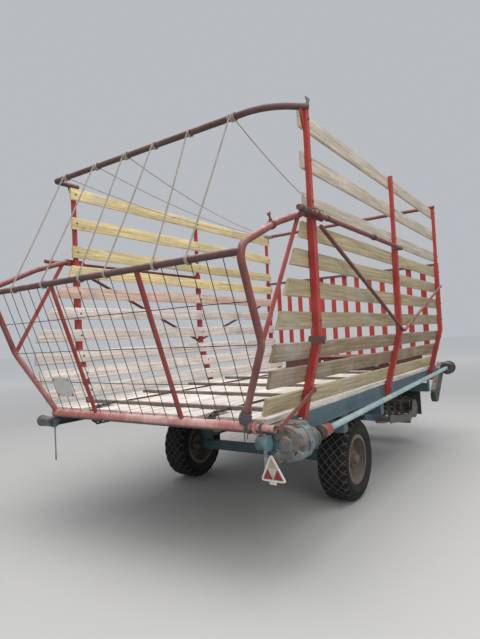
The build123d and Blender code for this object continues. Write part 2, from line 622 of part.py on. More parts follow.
def make_pickup_brackets():
    """Plates under the chassis beams that carry the pickup's pivot tube."""
    outline = Polyline(
        (PICKUP_PIVOT_Y - 400, PICKUP_PIVOT_Z + 50), (PICKUP_PIVOT_Y + 130, PICKUP_PIVOT_Z - 50),
        (PICKUP_PIVOT_Y + 130, BEAM_LOW_Z), (PICKUP_PIVOT_Y - 400, BEAM_LOW_Z), close=True)
    plate = along_x(make_face(outline), BEAM_X - 8, BEAM_X + 8)
    plate += rod((BEAM_X - 8, PICKUP_PIVOT_Y, PICKUP_PIVOT_Z), (BEAM_X + 8, PICKUP_PIVOT_Y, PICKUP_PIVOT_Z), 50.0)
    plate -= rod((BEAM_X - 9, PICKUP_PIVOT_Y, PICKUP_PIVOT_Z), (BEAM_X + 9, PICKUP_PIVOT_Y, PICKUP_PIVOT_Z),
                 PIVOT_RADIUS + RUNNING_GAP)
    BRACKETS.append(plate)
    keep("beam_brackets", *both(BRACKETS))


def gate_z(x):
    """Height at which a leaning side tube of the gate lies x from the middle."""
    slope = (GATE_KNEE_Z - GATE_FOOT_Z) / (GATE_KNEE_X - GATE_FOOT_X)
    return GATE_FOOT_Z + (x - GATE_FOOT_X) * slope


def gate_x(z):
    """Distance of the gate's side tube from the middle at height z."""
    if z >= GATE_KNEE_Z:
        return GATE_KNEE_X
    slope = (GATE_KNEE_X - GATE_FOOT_X) / (GATE_KNEE_Z - GATE_FOOT_Z)
    return GATE_FOOT_X + (z - GATE_FOOT_Z) * slope


def make_gate():
    """The hinged rear gate: side tubes, cross tube, bottom bar, braces, bars and mesh."""
    foot = Vector(GATE_FOOT_X, GATE_FOOT_Y, GATE_FOOT_Z)
    arm_start = (GATE_X, HINGE_Y - 30, HINGE_Z - 5)
    side = bent(
        [arm_start, (GATE_X, GATE_TOP_Y + 410, 2062), (GATE_X, GATE_TOP_Y, GATE_TOP_Z),
         (GATE_KNEE_X, GATE_KNEE_Y, GATE_KNEE_Z), foot],
        [700.0, GATE_TOP_BEND, GATE_KNEE_BEND], GATE_TUBE)
    lug_in, lug_out = GATE_X + 16, GATE_X + 28
    lug = rod((lug_in, HINGE_Y, HINGE_Z), (lug_out, HINGE_Y, HINGE_Z), 26.0)
    lug += flat(((lug_in + lug_out) / 2, HINGE_Y, HINGE_Z), ((lug_in + lug_out) / 2, HINGE_Y - 90, HINGE_Z - 22),
                34.0, lug_out - lug_in)
    lug -= rod((lug_in - 1, HINGE_Y, HINGE_Z), (lug_out + 1, HINGE_Y, HINGE_Z), HINGE_PIN + RUNNING_GAP)
    side = side + lug
    bottom = rod((BOTTOM_LEFT_X, GATE_FOOT_Y, GATE_FOOT_Z), (BOTTOM_RIGHT_X, GATE_FOOT_Y, GATE_FOOT_Z), BOTTOM_BAR)
    stub = rod((BOTTOM_RIGHT_X, GATE_FOOT_Y, GATE_FOOT_Z), (STUB_END_X, GATE_FOOT_Y, GATE_FOOT_Z), STUB_TUBE)
    bottom = bottom + stub
    bottom += Pos(BOTTOM_RIGHT_X + 30, GATE_FOOT_Y - 6, GATE_FOOT_Z) * Rot(0, 90, 0) * Cylinder(38, 8)
    bottom -= rod((STUB_END_X - 80, GATE_FOOT_Y, GATE_FOOT_Z), (STUB_END_X + 1, GATE_FOOT_Y, GATE_FOOT_Z),
                  STUB_TUBE - 4)
    side = side - bottom
    left = mirrored(side) - bottom
    keep("gate_sides", side, left)
    cross_y, cross_z = GATE_TOP_Y + 28, GATE_TOP_Z - 25
    cross = rod((-GATE_X, cross_y, cross_z), (GATE_X, cross_y, cross_z), GATE_TUBE) - side - left
    cross = cross.solids().sort_by(SortBy.VOLUME)[-1]
    keep("gate_cross_tubes", cross, bottom)
    brace = flat((GATE_X, HINGE_Y - 60, HINGE_Z - 15), (GATE_KNEE_X, GATE_KNEE_Y, GATE_KNEE_Z), 30.0, 10.0) - side
    brace = brace.solids().sort_by(SortBy.VOLUME)[-1]
    bars = [brace, mirrored(brace)]
    for s in (-1, 1):
        bar = rod((s * INNER_BAR_X, cross_y, cross_z), (s * INNER_BAR_X, GATE_FOOT_Y, GATE_FOOT_Z), INNER_BAR)
        bars.append((bar - cross - bottom).solids().sort_by(SortBy.VOLUME)[-1])
    keep("gate_bars", *bars)
    back = Vector(0, GATE_FOOT_Y - cross_y, GATE_FOOT_Z - cross_z)
    run = back.normalized()
    normal = Vector(0, run.Z, -run.Y)
    a = Vector(0, cross_y, cross_z) + run * (GATE_TUBE - 2)
    b = Vector(0, GATE_FOOT_Y, GATE_FOOT_Z) - run * (BOTTOM_BAR - 2)
    wires = []
    for number in range(-WIRES_LEFT, WIRES_RIGHT + 1):
        x = WIRE_OFFSET + number * WIRE_PITCH
        if abs(abs(x) - INNER_BAR_X) < INNER_BAR + WIRE:
            continue
        part = (b.Z - gate_z(abs(x))) / (b.Z - a.Z)
        low = b + (a - b) * max(0.0, part)
        wire = flat((x, a.Y, a.Z), (x, low.Y, low.Z), WIRE, WIRE) - cross - bottom - side - left
        wires.append(wire.solids().sort_by(SortBy.VOLUME)[-1])
    keep("gate_mesh_uprights", *wires)
    rows = []
    for number in range(CROSS_WIRES):
        centre = a + (b - a) * ((number + 1) / (CROSS_WIRES + 1)) + normal * WIRE
        reach = gate_x(centre.Z)
        row = flat((-reach, centre.Y, centre.Z), (reach, centre.Y, centre.Z), WIRE, WIRE,
                   side=(0, normal.Y, normal.Z))
        rows.append(row - side - left - bars[2:])
    keep("gate_mesh_rows", *rows)
    centre = Vector(-686, cross_y, cross_z) + run * 790 + normal * (1.5 * WIRE + 1.5)
    plate_plane = Plane(origin=centre, x_dir=(1, 0, 0), z_dir=normal)
    keep("speed_plate", plate_plane * Box(200, 160, 3))


def make_hinges():
    """Plates on the rear posts with the pins of the tailgate."""
    out = POST_X + LOWER_POST / 2
    thick = HINGE_PLATE
    plate = flat((out + thick / 2, HINGE_Y, HINGE_Z), (out + thick / 2, 90, HINGE_Z), 56.0, thick)
    plate += rod((out, HINGE_Y, HINGE_Z), (out + thick, HINGE_Y, HINGE_Z), 28.0)
    plate += rod((out, 90, HINGE_Z), (out + thick, 90, HINGE_Z), 28.0)
    plate += rod((GATE_X + 10, HINGE_Y, HINGE_Z), (out + 1, HINGE_Y, HINGE_Z), HINGE_PIN)
    z = LATCH_Z
    face = post_x(z) + LOWER_POST / 2 / cos(LEAN)
    pin = rod((face - 20, 0, z), (face + LATCH_GAP + 2 * LATCH_THICK, 0, z), HINGE_PIN) - PARTS["lower_posts"]
    keep("gate_hinges", plate, mirrored(plate), pin.solids().sort_by(SortBy.VOLUME)[-1])


def make_latch():
    """A flat bar that swings on the right rear post and holds the gate's stub."""
    z = LATCH_Z
    face = post_x(z) + LOWER_POST / 2 / cos(LEAN)
    x = face + LATCH_GAP + LATCH_THICK / 2
    end = (x, GATE_FOOT_Y - 10, GATE_FOOT_Z + 15)
    half = LATCH_THICK / 2
    bar = flat((x, 0, z), end, 26.0, LATCH_THICK)
    bar += rod((x - half, 0, z), (x + half, 0, z), 20.0)
    bar += rod((x - half, end[1], end[2]), (x + half, end[1], end[2]), 18.0)
    bar -= rod((x - LATCH_THICK, 0, z), (x + LATCH_THICK, 0, z), HINGE_PIN + RUNNING_GAP)
    keep("latch_bar", bar)


def make_drive():
    """Rear and front gearboxes, the long shaft between them and the input shaft."""
    a = Vector(SHAFT_X, SHAFT_REAR_Y, SHAFT_REAR_Z)
    b = Vector(SHAFT_X, SHAFT_FRONT_Y, SHAFT_FRONT_Z)
    run = (b - a).normalized()
    coupling_start = a + run * 15 - run * COUPLING_LENGTH
    shaft = rod(a, b, DRIVE_TUBE) + rod(coupling_start, a + run * 15, COUPLING)
    stub = 15.0
    shaft -= rod(coupling_start - run, coupling_start + run * 50, stub + RUNNING_GAP)
    shaft -= rod(b - run * 50, b + run, stub + RUNNING_GAP)
    keep("drive_shaft", shaft)
    rear_y, front_y = RAIL_REAR_Y + 24, RAIL_REAR_Y + 216
    rear = rod((GEARBOX_X, rear_y, GEARBOX_Z), (GEARBOX_X, front_y, GEARBOX_Z), GEARBOX_RADIUS)
    rear = fillet(rear.edges(), 22.0)
    lobe = 56.0
    x, z = RAIL_OUT + lobe + 1, RAIL_LOW_Z - 32
    rear += rod((x, rear_y + 6, z), (x, front_y - 20, z), lobe)
    rear += box(RAIL_OUT, GEARBOX_X, rear_y + 12, front_y - 12, RAIL_LOW_Z + 10, RAIL_TOP_Z - 5)
    rear += rod(a - run * 440, coupling_start - run * 8, DRIVE_TUBE + 12)
    rear += rod(a - run * 312, a - run * 242, 60.0)
    rear += rod(coupling_start - run * 10, coupling_start + run * 45, stub)
    keep("rear_gearbox", rear)
    y0 = SHAFT_FRONT_Y + 10
    front = rod((SHAFT_X, y0, SHAFT_FRONT_Z), (SHAFT_X, y0 + 200, SHAFT_FRONT_Z), 80.0)
    front = fillet(front.edges(), 24.0)
    front += rod(b - run * 45, b + run * 30, stub)
    y = y0 + 120
    z = INPUT_Z
    front += rod((120, y, z), (SHAFT_X - 75, y, z), 45.0)
    guard = Pos(y, z) * Circle(80.0) + Pos(y - 360, z - 300) * Circle(95.0)
    guard += make_face(Polyline((y - 62, z + 51), (y + 51, z - 62), (y - 285, z - 358), (y - 434, z - 240),
                                close=True))
    front += along_x(guard, SHAFT_X - 135, SHAFT_X - 75)
    centre = box(-110, 130, y - 120, y + 120, DRAWBAR_TOP_Z + 12, 980)
    centre = fillet(centre.edges().filter_by(Axis.Z), 30.0)
    front += centre
    front += rod((0, y + 119, z), (0, y + 160, z), 40.0)
    front -= rod((0, y + 120, z), (0, y + 161, z), stub + RUNNING_GAP)
    keep("front_gearbox", front)
    keep("input_shaft", rod((0, y + 125, z), (0, y + 163, z), stub) + rod((0, y + 162, z), (0, y + 252, z), PTO_RADIUS))
    shelf = box(-445, 445, y - 110, y + 110, DRAWBAR_TOP_Z, DRAWBAR_TOP_Z + 12)
    bracket = box(RAIL_OUT - 12, RAIL_OUT, RAIL_FRONT_Y, y0 + 20, RAIL_LOW_Z + 20, RAIL_TOP_Z - 20) - front
    bracket = bracket.solids().sort_by(SortBy.VOLUME)[-1]
    keep("gearbox_mounts", shelf, bracket)


def make_apron():
    """The hanging cloth in front of the pickup and the bar that carries it."""
    z = DRAWBAR_LOW_Z - APRON_BAR - SEAT_GAP
    reach = APRON_HALF_WIDTH
    bar = rod((-reach - 10, APRON_Y, z), (reach + 10, APRON_Y, z), APRON_BAR)
    keep("apron_bar", bar)
    y = APRON_Y + APRON_BAR + SEAT_GAP
    keep("apron", box(-reach, reach, y, y + APRON_THICK, APRON_LOW_Z, z + 10))


def make_jack():
    """Parking jack: a flanged sleeve on the drawbar and a leg that slides in it."""
    sleeve = rod((0, JACK_Y, JACK_SLEEVE_LOW_Z), (0, JACK_Y, JACK_SLEEVE_TOP_Z), JACK_OUT)
    sleeve += box(-230, 230, JACK_Y - 60, JACK_Y + 60, DRAWBAR_TOP_Z, DRAWBAR_TOP_Z + 12)
    sleeve -= rod((0, JACK_Y, JACK_SLEEVE_LOW_Z - 1), (0, JACK_Y, JACK_SLEEVE_TOP_Z - 12), JACK_LEG + RUNNING_GAP)
    keep("jack_sleeve", sleeve)
    leg = rod((0, JACK_Y, 8), (0, JACK_Y, JACK_LEG_TOP_Z), JACK_LEG)
    leg += Pos(0, JACK_Y, 5) * Cylinder(JACK_FOOT, 10)
    leg += Pos(0, JACK_Y, 25) * Cone(60, 32, 32)
    keep("jack_leg", leg)


def make_reflector():
    """Rear reflector on its strap on the right, and the bare strap on the left."""
    y = RAIL_REAR_Y
    inner = RAIL_OUT - 24
    low = RAIL_LOW_Z - 180
    strap = box(inner, RAIL_OUT, y - 5, y, low, RAIL_LOW_Z + 50)
    bare = box(-inner, -inner + 15, y - 4, y, low - 100, RAIL_LOW_Z + 40)
    keep("reflector_straps", strap, bare)
    outline = Polyline((RAIL_OUT - 47, low - 15), (RAIL_OUT + 122, low - 15), (RAIL_OUT + 27, low + 144), close=True)
    tri = drawn_y(outline, y - 17, y - 5)
    keep("reflector", fillet(tri.edges().filter_by(Axis.Y), 10.0))


make_sides()
make_top()
make_floor()
make_scraper()
make_chassis()
make_axle()
make_wheels()
make_front_wall()
make_feed()
make_pickup()
make_pickup_brackets()
make_gate()
make_hinges()
make_latch()
make_drive()
make_apron()
make_jack()
make_reflector()

whole = Compound([solid for solids in PARTS.values() for solid in solids]).bounding_box()
SHIFT_Y = -(whole.min.Y + whole.max.Y) / 2
print("Y of the rear posts", round(SHIFT_Y, 3), "box", whole)

os.makedirs("parts", exist_ok=True)
for name, solids in PARTS.items():
    placed = [solid.moved(Location((0, SHIFT_Y, 0))) for solid in solids]
    export_step(Compound(placed) if len(placed) > 1 else placed[0], "parts/" + name + ".step")
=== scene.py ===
from math import atan2, cos, pi, radians, sin

import bpy
import numpy as np
from mathutils import Matrix, Vector


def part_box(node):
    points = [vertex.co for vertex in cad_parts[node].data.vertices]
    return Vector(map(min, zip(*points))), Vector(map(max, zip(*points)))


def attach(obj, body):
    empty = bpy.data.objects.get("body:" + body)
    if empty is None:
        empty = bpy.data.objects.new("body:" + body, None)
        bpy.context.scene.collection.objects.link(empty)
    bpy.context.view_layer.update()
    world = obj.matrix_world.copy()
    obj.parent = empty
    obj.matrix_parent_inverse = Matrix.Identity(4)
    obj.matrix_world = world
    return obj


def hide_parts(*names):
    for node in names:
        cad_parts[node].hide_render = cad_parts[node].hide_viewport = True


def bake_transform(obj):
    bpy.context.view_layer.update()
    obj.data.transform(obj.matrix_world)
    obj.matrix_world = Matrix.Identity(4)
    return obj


# A single-axle self-loading hay wagon: weathered planks on red tube posts, a hinged mesh
# tailgate, blue chassis and floor drive, ropes behind and over the load space.
# Metres; X right, Y to the towing eye, Z up.

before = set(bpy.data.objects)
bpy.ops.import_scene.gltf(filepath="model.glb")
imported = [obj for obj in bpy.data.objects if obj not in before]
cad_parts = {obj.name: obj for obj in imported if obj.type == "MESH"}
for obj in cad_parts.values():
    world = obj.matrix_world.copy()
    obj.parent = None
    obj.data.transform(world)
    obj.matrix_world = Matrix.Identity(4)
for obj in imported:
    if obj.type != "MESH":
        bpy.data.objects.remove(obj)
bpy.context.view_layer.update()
chance = np.random.default_rng(41)

RIGHT, LEFT = (1, 0, 0), (-1, 0, 0)
AHEAD, BEHIND = (0, 1, 0), (0, -1, 0)
UP = (0, 0, 1)

# Posts: square tubes plugged into wider ones, which lean inwards below their knee
UPPER_POST = 0.035
LOWER_POST = 0.048
post_low, post_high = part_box("upper_posts")
REAR_Y = post_low.y + UPPER_POST / 2
FRONT_Y = post_high.y - UPPER_POST / 2
POST_ROWS = (REAR_Y, REAR_Y + 1.741, FRONT_Y)
POST_X = post_high.x - UPPER_POST / 2
FOOT_X = 1.048
FOOT_TOP_Z = 0.880
KNEE_Z = 1.383
LEAN = atan2(POST_X - FOOT_X, KNEE_Z - FOOT_TOP_Z)
HINGE_Z = 2.165


def at(x, y, z):
    """A place, given how far it lies ahead of the line through the rear posts."""
    return np.array([x, REAR_Y + y, z], float)


# Floor, bow and right wheel
FLOOR_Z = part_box("cross_channels")[1].z
rail_low, rail_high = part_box("side_rails")
bow_low, bow_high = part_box("rear_bow")
BOW_Y = REAR_Y - 0.190
BOW_Z = (bow_low.z + bow_high.z) / 2
BOW_RADIUS = (bow_high.z - bow_low.z) / 2
tyre_low, tyre_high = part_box("tyre_right")
AXLE_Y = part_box("axle")[0].y + 0.040
HUB = np.array([(tyre_low.x + tyre_high.x) / 2, AXLE_Y, tyre_high.z / 2])

# Tailgate: knee and foot of its right side tube, the cross tube and the plane below it
GATE_KNEE = at(1.160, -0.628, 1.372)
GATE_FOOT = at(0.887, -0.446, 0.890)
CROSS_Y = REAR_Y - 0.797
CROSS_Z = 1.850
CROSS_RADIUS = 0.021
INNER_BAR_X = 0.420
GATE_TOP = np.array([0, CROSS_Y, CROSS_Z])
GATE_RUN = np.array([0, GATE_FOOT[1] - CROSS_Y, GATE_FOOT[2] - CROSS_Z])
GATE_LENGTH = np.linalg.norm(GATE_RUN)
GATE_NORMAL = np.array([0, GATE_RUN[2], -GATE_RUN[1]]) / GATE_LENGTH

# One row for each plank of a side, from the top: height of its upper edge, how far its
# upper and lower corner reach behind the rear posts, then its tint on the left and right.
PLANKS = (
    (2.844, 0.050, 0.050, "straw", "pale"),
    (2.577, 0.050, 0.050, "straw", "pale"),
    (2.314, 0.050, 0.050, "straw", "grey"),
    (2.129, 0.070, 0.110, "straw", "olive"),
    (1.943, 0.180, 0.250, "rose", "olive"),
    (1.752, 0.280, 0.350, "white", "olive"),
    (1.556, 0.400, 0.460, "white", "olive"),
    (1.361, 0.462, 0.480, "white", "brown"),
    (1.210, 0.460, 0.460, "white", "brown"),
    (1.055, 0.450, 0.450, "white", "olive"),
)
LEFT_TINT, RIGHT_TINT = 3, 4
UPPER_PLANKS = 3
PLANK_HEIGHT = 0.108
PLANK_THICK = 0.022
PLANK_FRONT = FRONT_Y + 0.026

TINTS = {
    "straw": (0.68, 0.57, 0.32),
    "pale": (0.62, 0.56, 0.47),
    "grey": (0.50, 0.46, 0.40),
    "olive": (0.43, 0.365, 0.235),
    "brown": (0.33, 0.255, 0.175),
    "rose": (0.66, 0.49, 0.43),
    "white": (0.73, 0.685, 0.665),
    "floor": (0.79, 0.735, 0.715),
    "sill": (0.78, 0.74, 0.71),
}


# Surfaces: each part is a dict of points, faces and the UV of every face corner

def unit(vectors):
    """Vectors divided by their lengths."""
    return vectors / np.linalg.norm(vectors, axis=-1, keepdims=True)


def line(a, b, count):
    """Points evenly along a straight line: a times (1 - t) plus b times t."""
    t = np.linspace(0, 1, count)[:, None]
    return np.asarray(a, float) * (1 - t) + np.asarray(b, float) * t


def ramp(value, width):
    """0 up to zero, 1 from width on, and even between."""
    return np.clip(value / width, 0, 1)


def distances(path):
    """How far each point of a path lies along it: the running sum of the steps."""
    steps = np.linalg.norm(np.diff(path, axis=0), axis=1)
    return np.concatenate([[0.0], np.cumsum(steps)])


def sheet_of(points, quads, uv):
    """A part of four-sided faces only."""
    return {"points": points.reshape(-1, 3), "quads": quads.reshape(-1, 4), "uv": uv.reshape(-1, 4, 2),
            "fans": np.zeros((0, 3), int), "fan_uv": np.zeros((0, 3, 2))}


def loft(rings, along=None, ends=True):
    """Closed rings of points, one after another along a path, joined by four-sided faces.
    U is the distance along the path, V the distance round the ring; a fan closes each end."""
    stations, count = rings.shape[:2]
    centres = rings.mean(axis=1)
    along = distances(centres) if along is None else along
    around = distances(np.concatenate([rings[0], rings[0][:1]]))
    i, j = np.meshgrid(np.arange(stations - 1), np.arange(count), indexing="ij")
    corners = ((i, j), (i, j + 1), (i + 1, j + 1), (i + 1, j))
    quads = np.stack([a * count + b % count for a, b in corners], axis=-1)
    uv = np.stack([np.stack([along[a], around[b]], axis=-1) for a, b in corners], axis=2)
    part = sheet_of(rings, quads, uv)
    if not ends:
        return part
    k = np.arange(count)
    after = (k + 1) % count
    hub, top = stations * count, (stations - 1) * count
    fans, fan_uv = [], []
    for tip, base, u, one, two in ((hub, 0, along[0], after, k), (hub + 1, top, along[-1], k, after)):
        fans.append(np.stack([np.full(count, tip), base + one, base + two], axis=-1))
        v = (np.full(count, around[-1] / 2), around[one], around[two])
        fan_uv.append(np.stack([np.stack([np.full(count, u), row], axis=-1) for row in v], axis=1))
    part["points"] = np.concatenate([part["points"], centres[:1], centres[-1:]])
    part["fans"] = np.concatenate(fans)
    part["fan_uv"] = np.concatenate(fan_uv)
    return part


def shell(grid):
    """An open surface from a grid of points; faces look along u cross v."""
    rows, columns = grid.shape[:2]
    i, j = np.meshgrid(np.arange(rows - 1), np.arange(columns - 1), indexing="ij")
    corners = ((i, j), (i + 1, j), (i + 1, j + 1), (i, j + 1))
    quads = np.stack([a * columns + b for a, b in corners], axis=-1)
    uv = [np.stack([a / (rows - 1), b / (columns - 1)], axis=-1) for a, b in corners]
    return sheet_of(grid, quads, np.stack(uv, axis=2))


def seamed(part, count):
    """A part whose last row lies on its first: the faces there use the first row's points,
    and only the first count points are kept."""
    part["quads"] = part["quads"] % count
    part["points"] = part["points"][:count]
    return part


def joined(parts):
    """Several parts as one, each keeping its tint; without one it is white."""
    counts = [len(part["points"]) for part in parts]
    firsts = np.cumsum([0] + counts[:-1])
    whole = {key: np.concatenate([part[key] for part in parts]) for key in ("points", "uv", "fan_uv")}
    for key in ("quads", "fans"):
        whole[key] = np.concatenate([part[key] + first for part, first in zip(parts, firsts)])
    tints = [np.broadcast_to(part.get("tint", 1.0), (count, 4)) for part, count in zip(parts, counts)]
    whole["tint"] = np.concatenate(tints)
    return whole


def piece(name, parts, material, body, replaces=(), sharp=35.0):
    """One object of the scene, made from its parts, riding on a body of the frame."""
    whole = joined(parts)
    mesh = bpy.data.meshes.new(name)
    mesh.from_pydata(whole["points"].tolist(), [], whole["quads"].tolist() + whole["fans"].tolist())
    layer = mesh.uv_layers.new(name="UVMap")
    flat = np.concatenate([whole["uv"].reshape(-1, 2), whole["fan_uv"].reshape(-1, 2)])
    layer.data.foreach_set("uv", flat.astype(np.float32).ravel())
    colours = mesh.attributes.new("tint", "FLOAT_COLOR", "POINT")
    colours.data.foreach_set("color", whole["tint"].astype(np.float32).ravel())
    mesh.polygons.foreach_set("use_smooth", [True] * len(mesh.polygons))
    mesh.set_sharp_from_angle(angle=radians(sharp))
    mesh.materials.append(material)
    mesh.update()
    thing = bpy.data.objects.new(name, mesh)
    bpy.context.scene.collection.objects.link(thing)
    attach(thing, body)
    if replaces:
        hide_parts(*replaces)
    return thing


def flipped(part):
    """The same part on the other side, with its faces still looking outwards."""
    made = {key: part[key][:, ::-1] for key in ("quads", "uv", "fans", "fan_uv")}
    return {**part, **made, "points": part["points"] * (-1, 1, 1)}


def mirrored(parts):
    """The same parts on the other side."""
    return [flipped(part) for part in parts]


def both_sides(parts):
    """Each part, followed by the same part on the other side."""
    return [made for part in parts for made in (part, flipped(part))]


def moved(part, shift, lean=0.0):
    """A part turned about the Y axis by lean, then shifted."""
    turn = np.array(Matrix.Rotation(lean, 3, "Y"))
    part["points"] = part["points"] @ turn.T + np.asarray(shift)
    return part


def circle(radius, count):
    """Points round a circle, as two columns: radius times the cosine and sine of the angle."""
    angle = np.linspace(0, 2 * pi, count, endpoint=False)
    return radius * np.stack([np.cos(angle), np.sin(angle)], axis=-1)


def rounded(width, height, edge, arc=3):
    """A rectangle with rounded corners, as two columns, anticlockwise."""
    rows = []
    for a, b, start in ((1, 1, 0), (-1, 1, 90), (-1, -1, 180), (1, -1, 270)):
        angle = np.radians(start + np.linspace(0, 90, arc + 1))
        centre = np.array([a * (width / 2 - edge), b * (height / 2 - edge)])
        rows.append(centre + edge * np.stack([np.cos(angle), np.sin(angle)], axis=-1))
    return np.concatenate(rows)


def rounded_outline(corners, radius, arc=3):
    """A polygon, anticlockwise, with an arc of that radius at each of its corners."""
    corners = np.asarray(corners, float)
    share = np.linspace(0, 1, arc + 1)[:, None]
    rows = []
    for before, corner, after in zip(np.roll(corners, 1, axis=0), corners, np.roll(corners, -1, axis=0)):
        back, ahead = unit(before - corner), unit(after - corner)
        half = np.arccos(np.clip(back @ ahead, -1, 1)) / 2
        centre = corner + unit(back + ahead) * radius / np.sin(half)
        first = corner + back * radius / np.tan(half) - centre
        last = corner + ahead * radius / np.tan(half) - centre
        rows.append(centre + radius * unit(first * (1 - share) + last * share))
    return np.concatenate(rows)


def carried(path, ring, reference, closed=False):
    """A ring of two columns carried along a path of points. The ring's second column
    points along the reference direction, made square to the path."""
    path = np.asarray(path, float)
    if closed:
        tangent = unit(np.roll(path, -1, axis=0) - np.roll(path, 1, axis=0))
    else:
        tangent = unit(np.gradient(path, axis=0))
    side = unit(np.cross(np.broadcast_to(reference, path.shape), tangent))
    up = np.cross(tangent, side)
    ring = np.broadcast_to(ring, (len(path),) + np.shape(ring)[-2:])
    return path[:, None] + ring[..., :1] * side[:, None] + ring[..., 1:] * up[:, None]


def tube(path, radius, reference, count):
    """A round bar along a path."""
    return loft(carried(path, circle(radius, count), reference))


def hoop(path, radius, reference, count):
    """A round bar along a closed path, with no ends."""
    rings = carried(path, circle(radius, count), reference, closed=True)
    return seamed(loft(np.concatenate([rings, rings[:1]]), ends=False), len(path) * count)


def turned(profile, centre, axis, count):
    """A profile of (distance along the axis, radius) turned about an axis through centre."""
    ring_step = 0.02
    profile = np.asarray(profile, float)
    axis = np.asarray(axis, float)
    upright = abs(axis[2]) >= 0.9
    side = unit(np.cross(axis, AHEAD if upright else UP))
    up = np.cross(axis, side)
    angle = np.linspace(0, 2 * pi, count, endpoint=False)
    spoke = np.cos(angle)[:, None] * side + np.sin(angle)[:, None] * up
    rings = np.asarray(centre) + profile[:, None, :1] * axis + profile[:, None, 1:] * spoke
    return loft(rings, along=np.arange(len(profile)) * ring_step)


def plate(corners, radius, origin, across, along, thick, chamfer=0.001, arc=3):
    """A plate with rounded corners: its outline in two columns is laid in the plane of across
    and along, and carried through its thickness, with a small chamfer on both faces."""
    outline = rounded_outline(corners, radius, arc)
    across, along = np.asarray(across, float), np.asarray(along, float)
    normal = np.cross(across, along)
    centre = outline.mean(axis=0)
    reach = np.linalg.norm(outline - centre, axis=1, keepdims=True)
    inner = centre + (outline - centre) * (1 - chamfer / reach)
    levels = ((inner, 0.0), (outline, chamfer), (outline, thick - chamfer), (inner, thick))
    rings = [np.asarray(origin) + ring[:, :1] * across + ring[:, 1:] * along + height * normal
             for ring, height in levels]
    return loft(np.array(rings))


def bolt(where, axis, radius, height):
    """A six-sided head with a chamfer, on a washer, looking along the axis."""
    rim = 1.45 * radius
    washer = ((0.0, rim), (0.0015, rim), (0.0022, 1.38 * radius))
    head = ((0.0, radius), (0.8 * height, radius), (height, 0.8 * radius))
    return [turned(washer, where, axis, 14), turned(head, where, axis, 6)]


def ring_of_bolts(centre, axis, radius, count, size):
    """Bolts evenly round an axis that runs level."""
    first_angle = 0.3
    other = np.cross(axis, UP)
    parts = []
    for angle in first_angle + np.arange(count) * 2 * pi / count:
        where = centre + radius * (cos(angle) * np.array(UP) + sin(angle) * other)
        parts += bolt(where, axis, size, 0.8 * size)
    return parts


# Finishes

# Height of a surface's normal where the pale top (settled dust, and in the worn paint also painted light
# from above) or the painted shade below begins, and where it is strongest
LOOKS_UP = (0.35, 0.95)
LOOKS_DOWN = (-0.15, -0.75)
EDGE_WIDTH = 0.004
# Colour of the painted shade on surfaces that face down
UNDERSIDE_SHADE = (0.035, 0.024, 0.020)
RUST = (0.16, 0.075, 0.035)
PALE_DUST = (0.46, 0.385, 0.32)


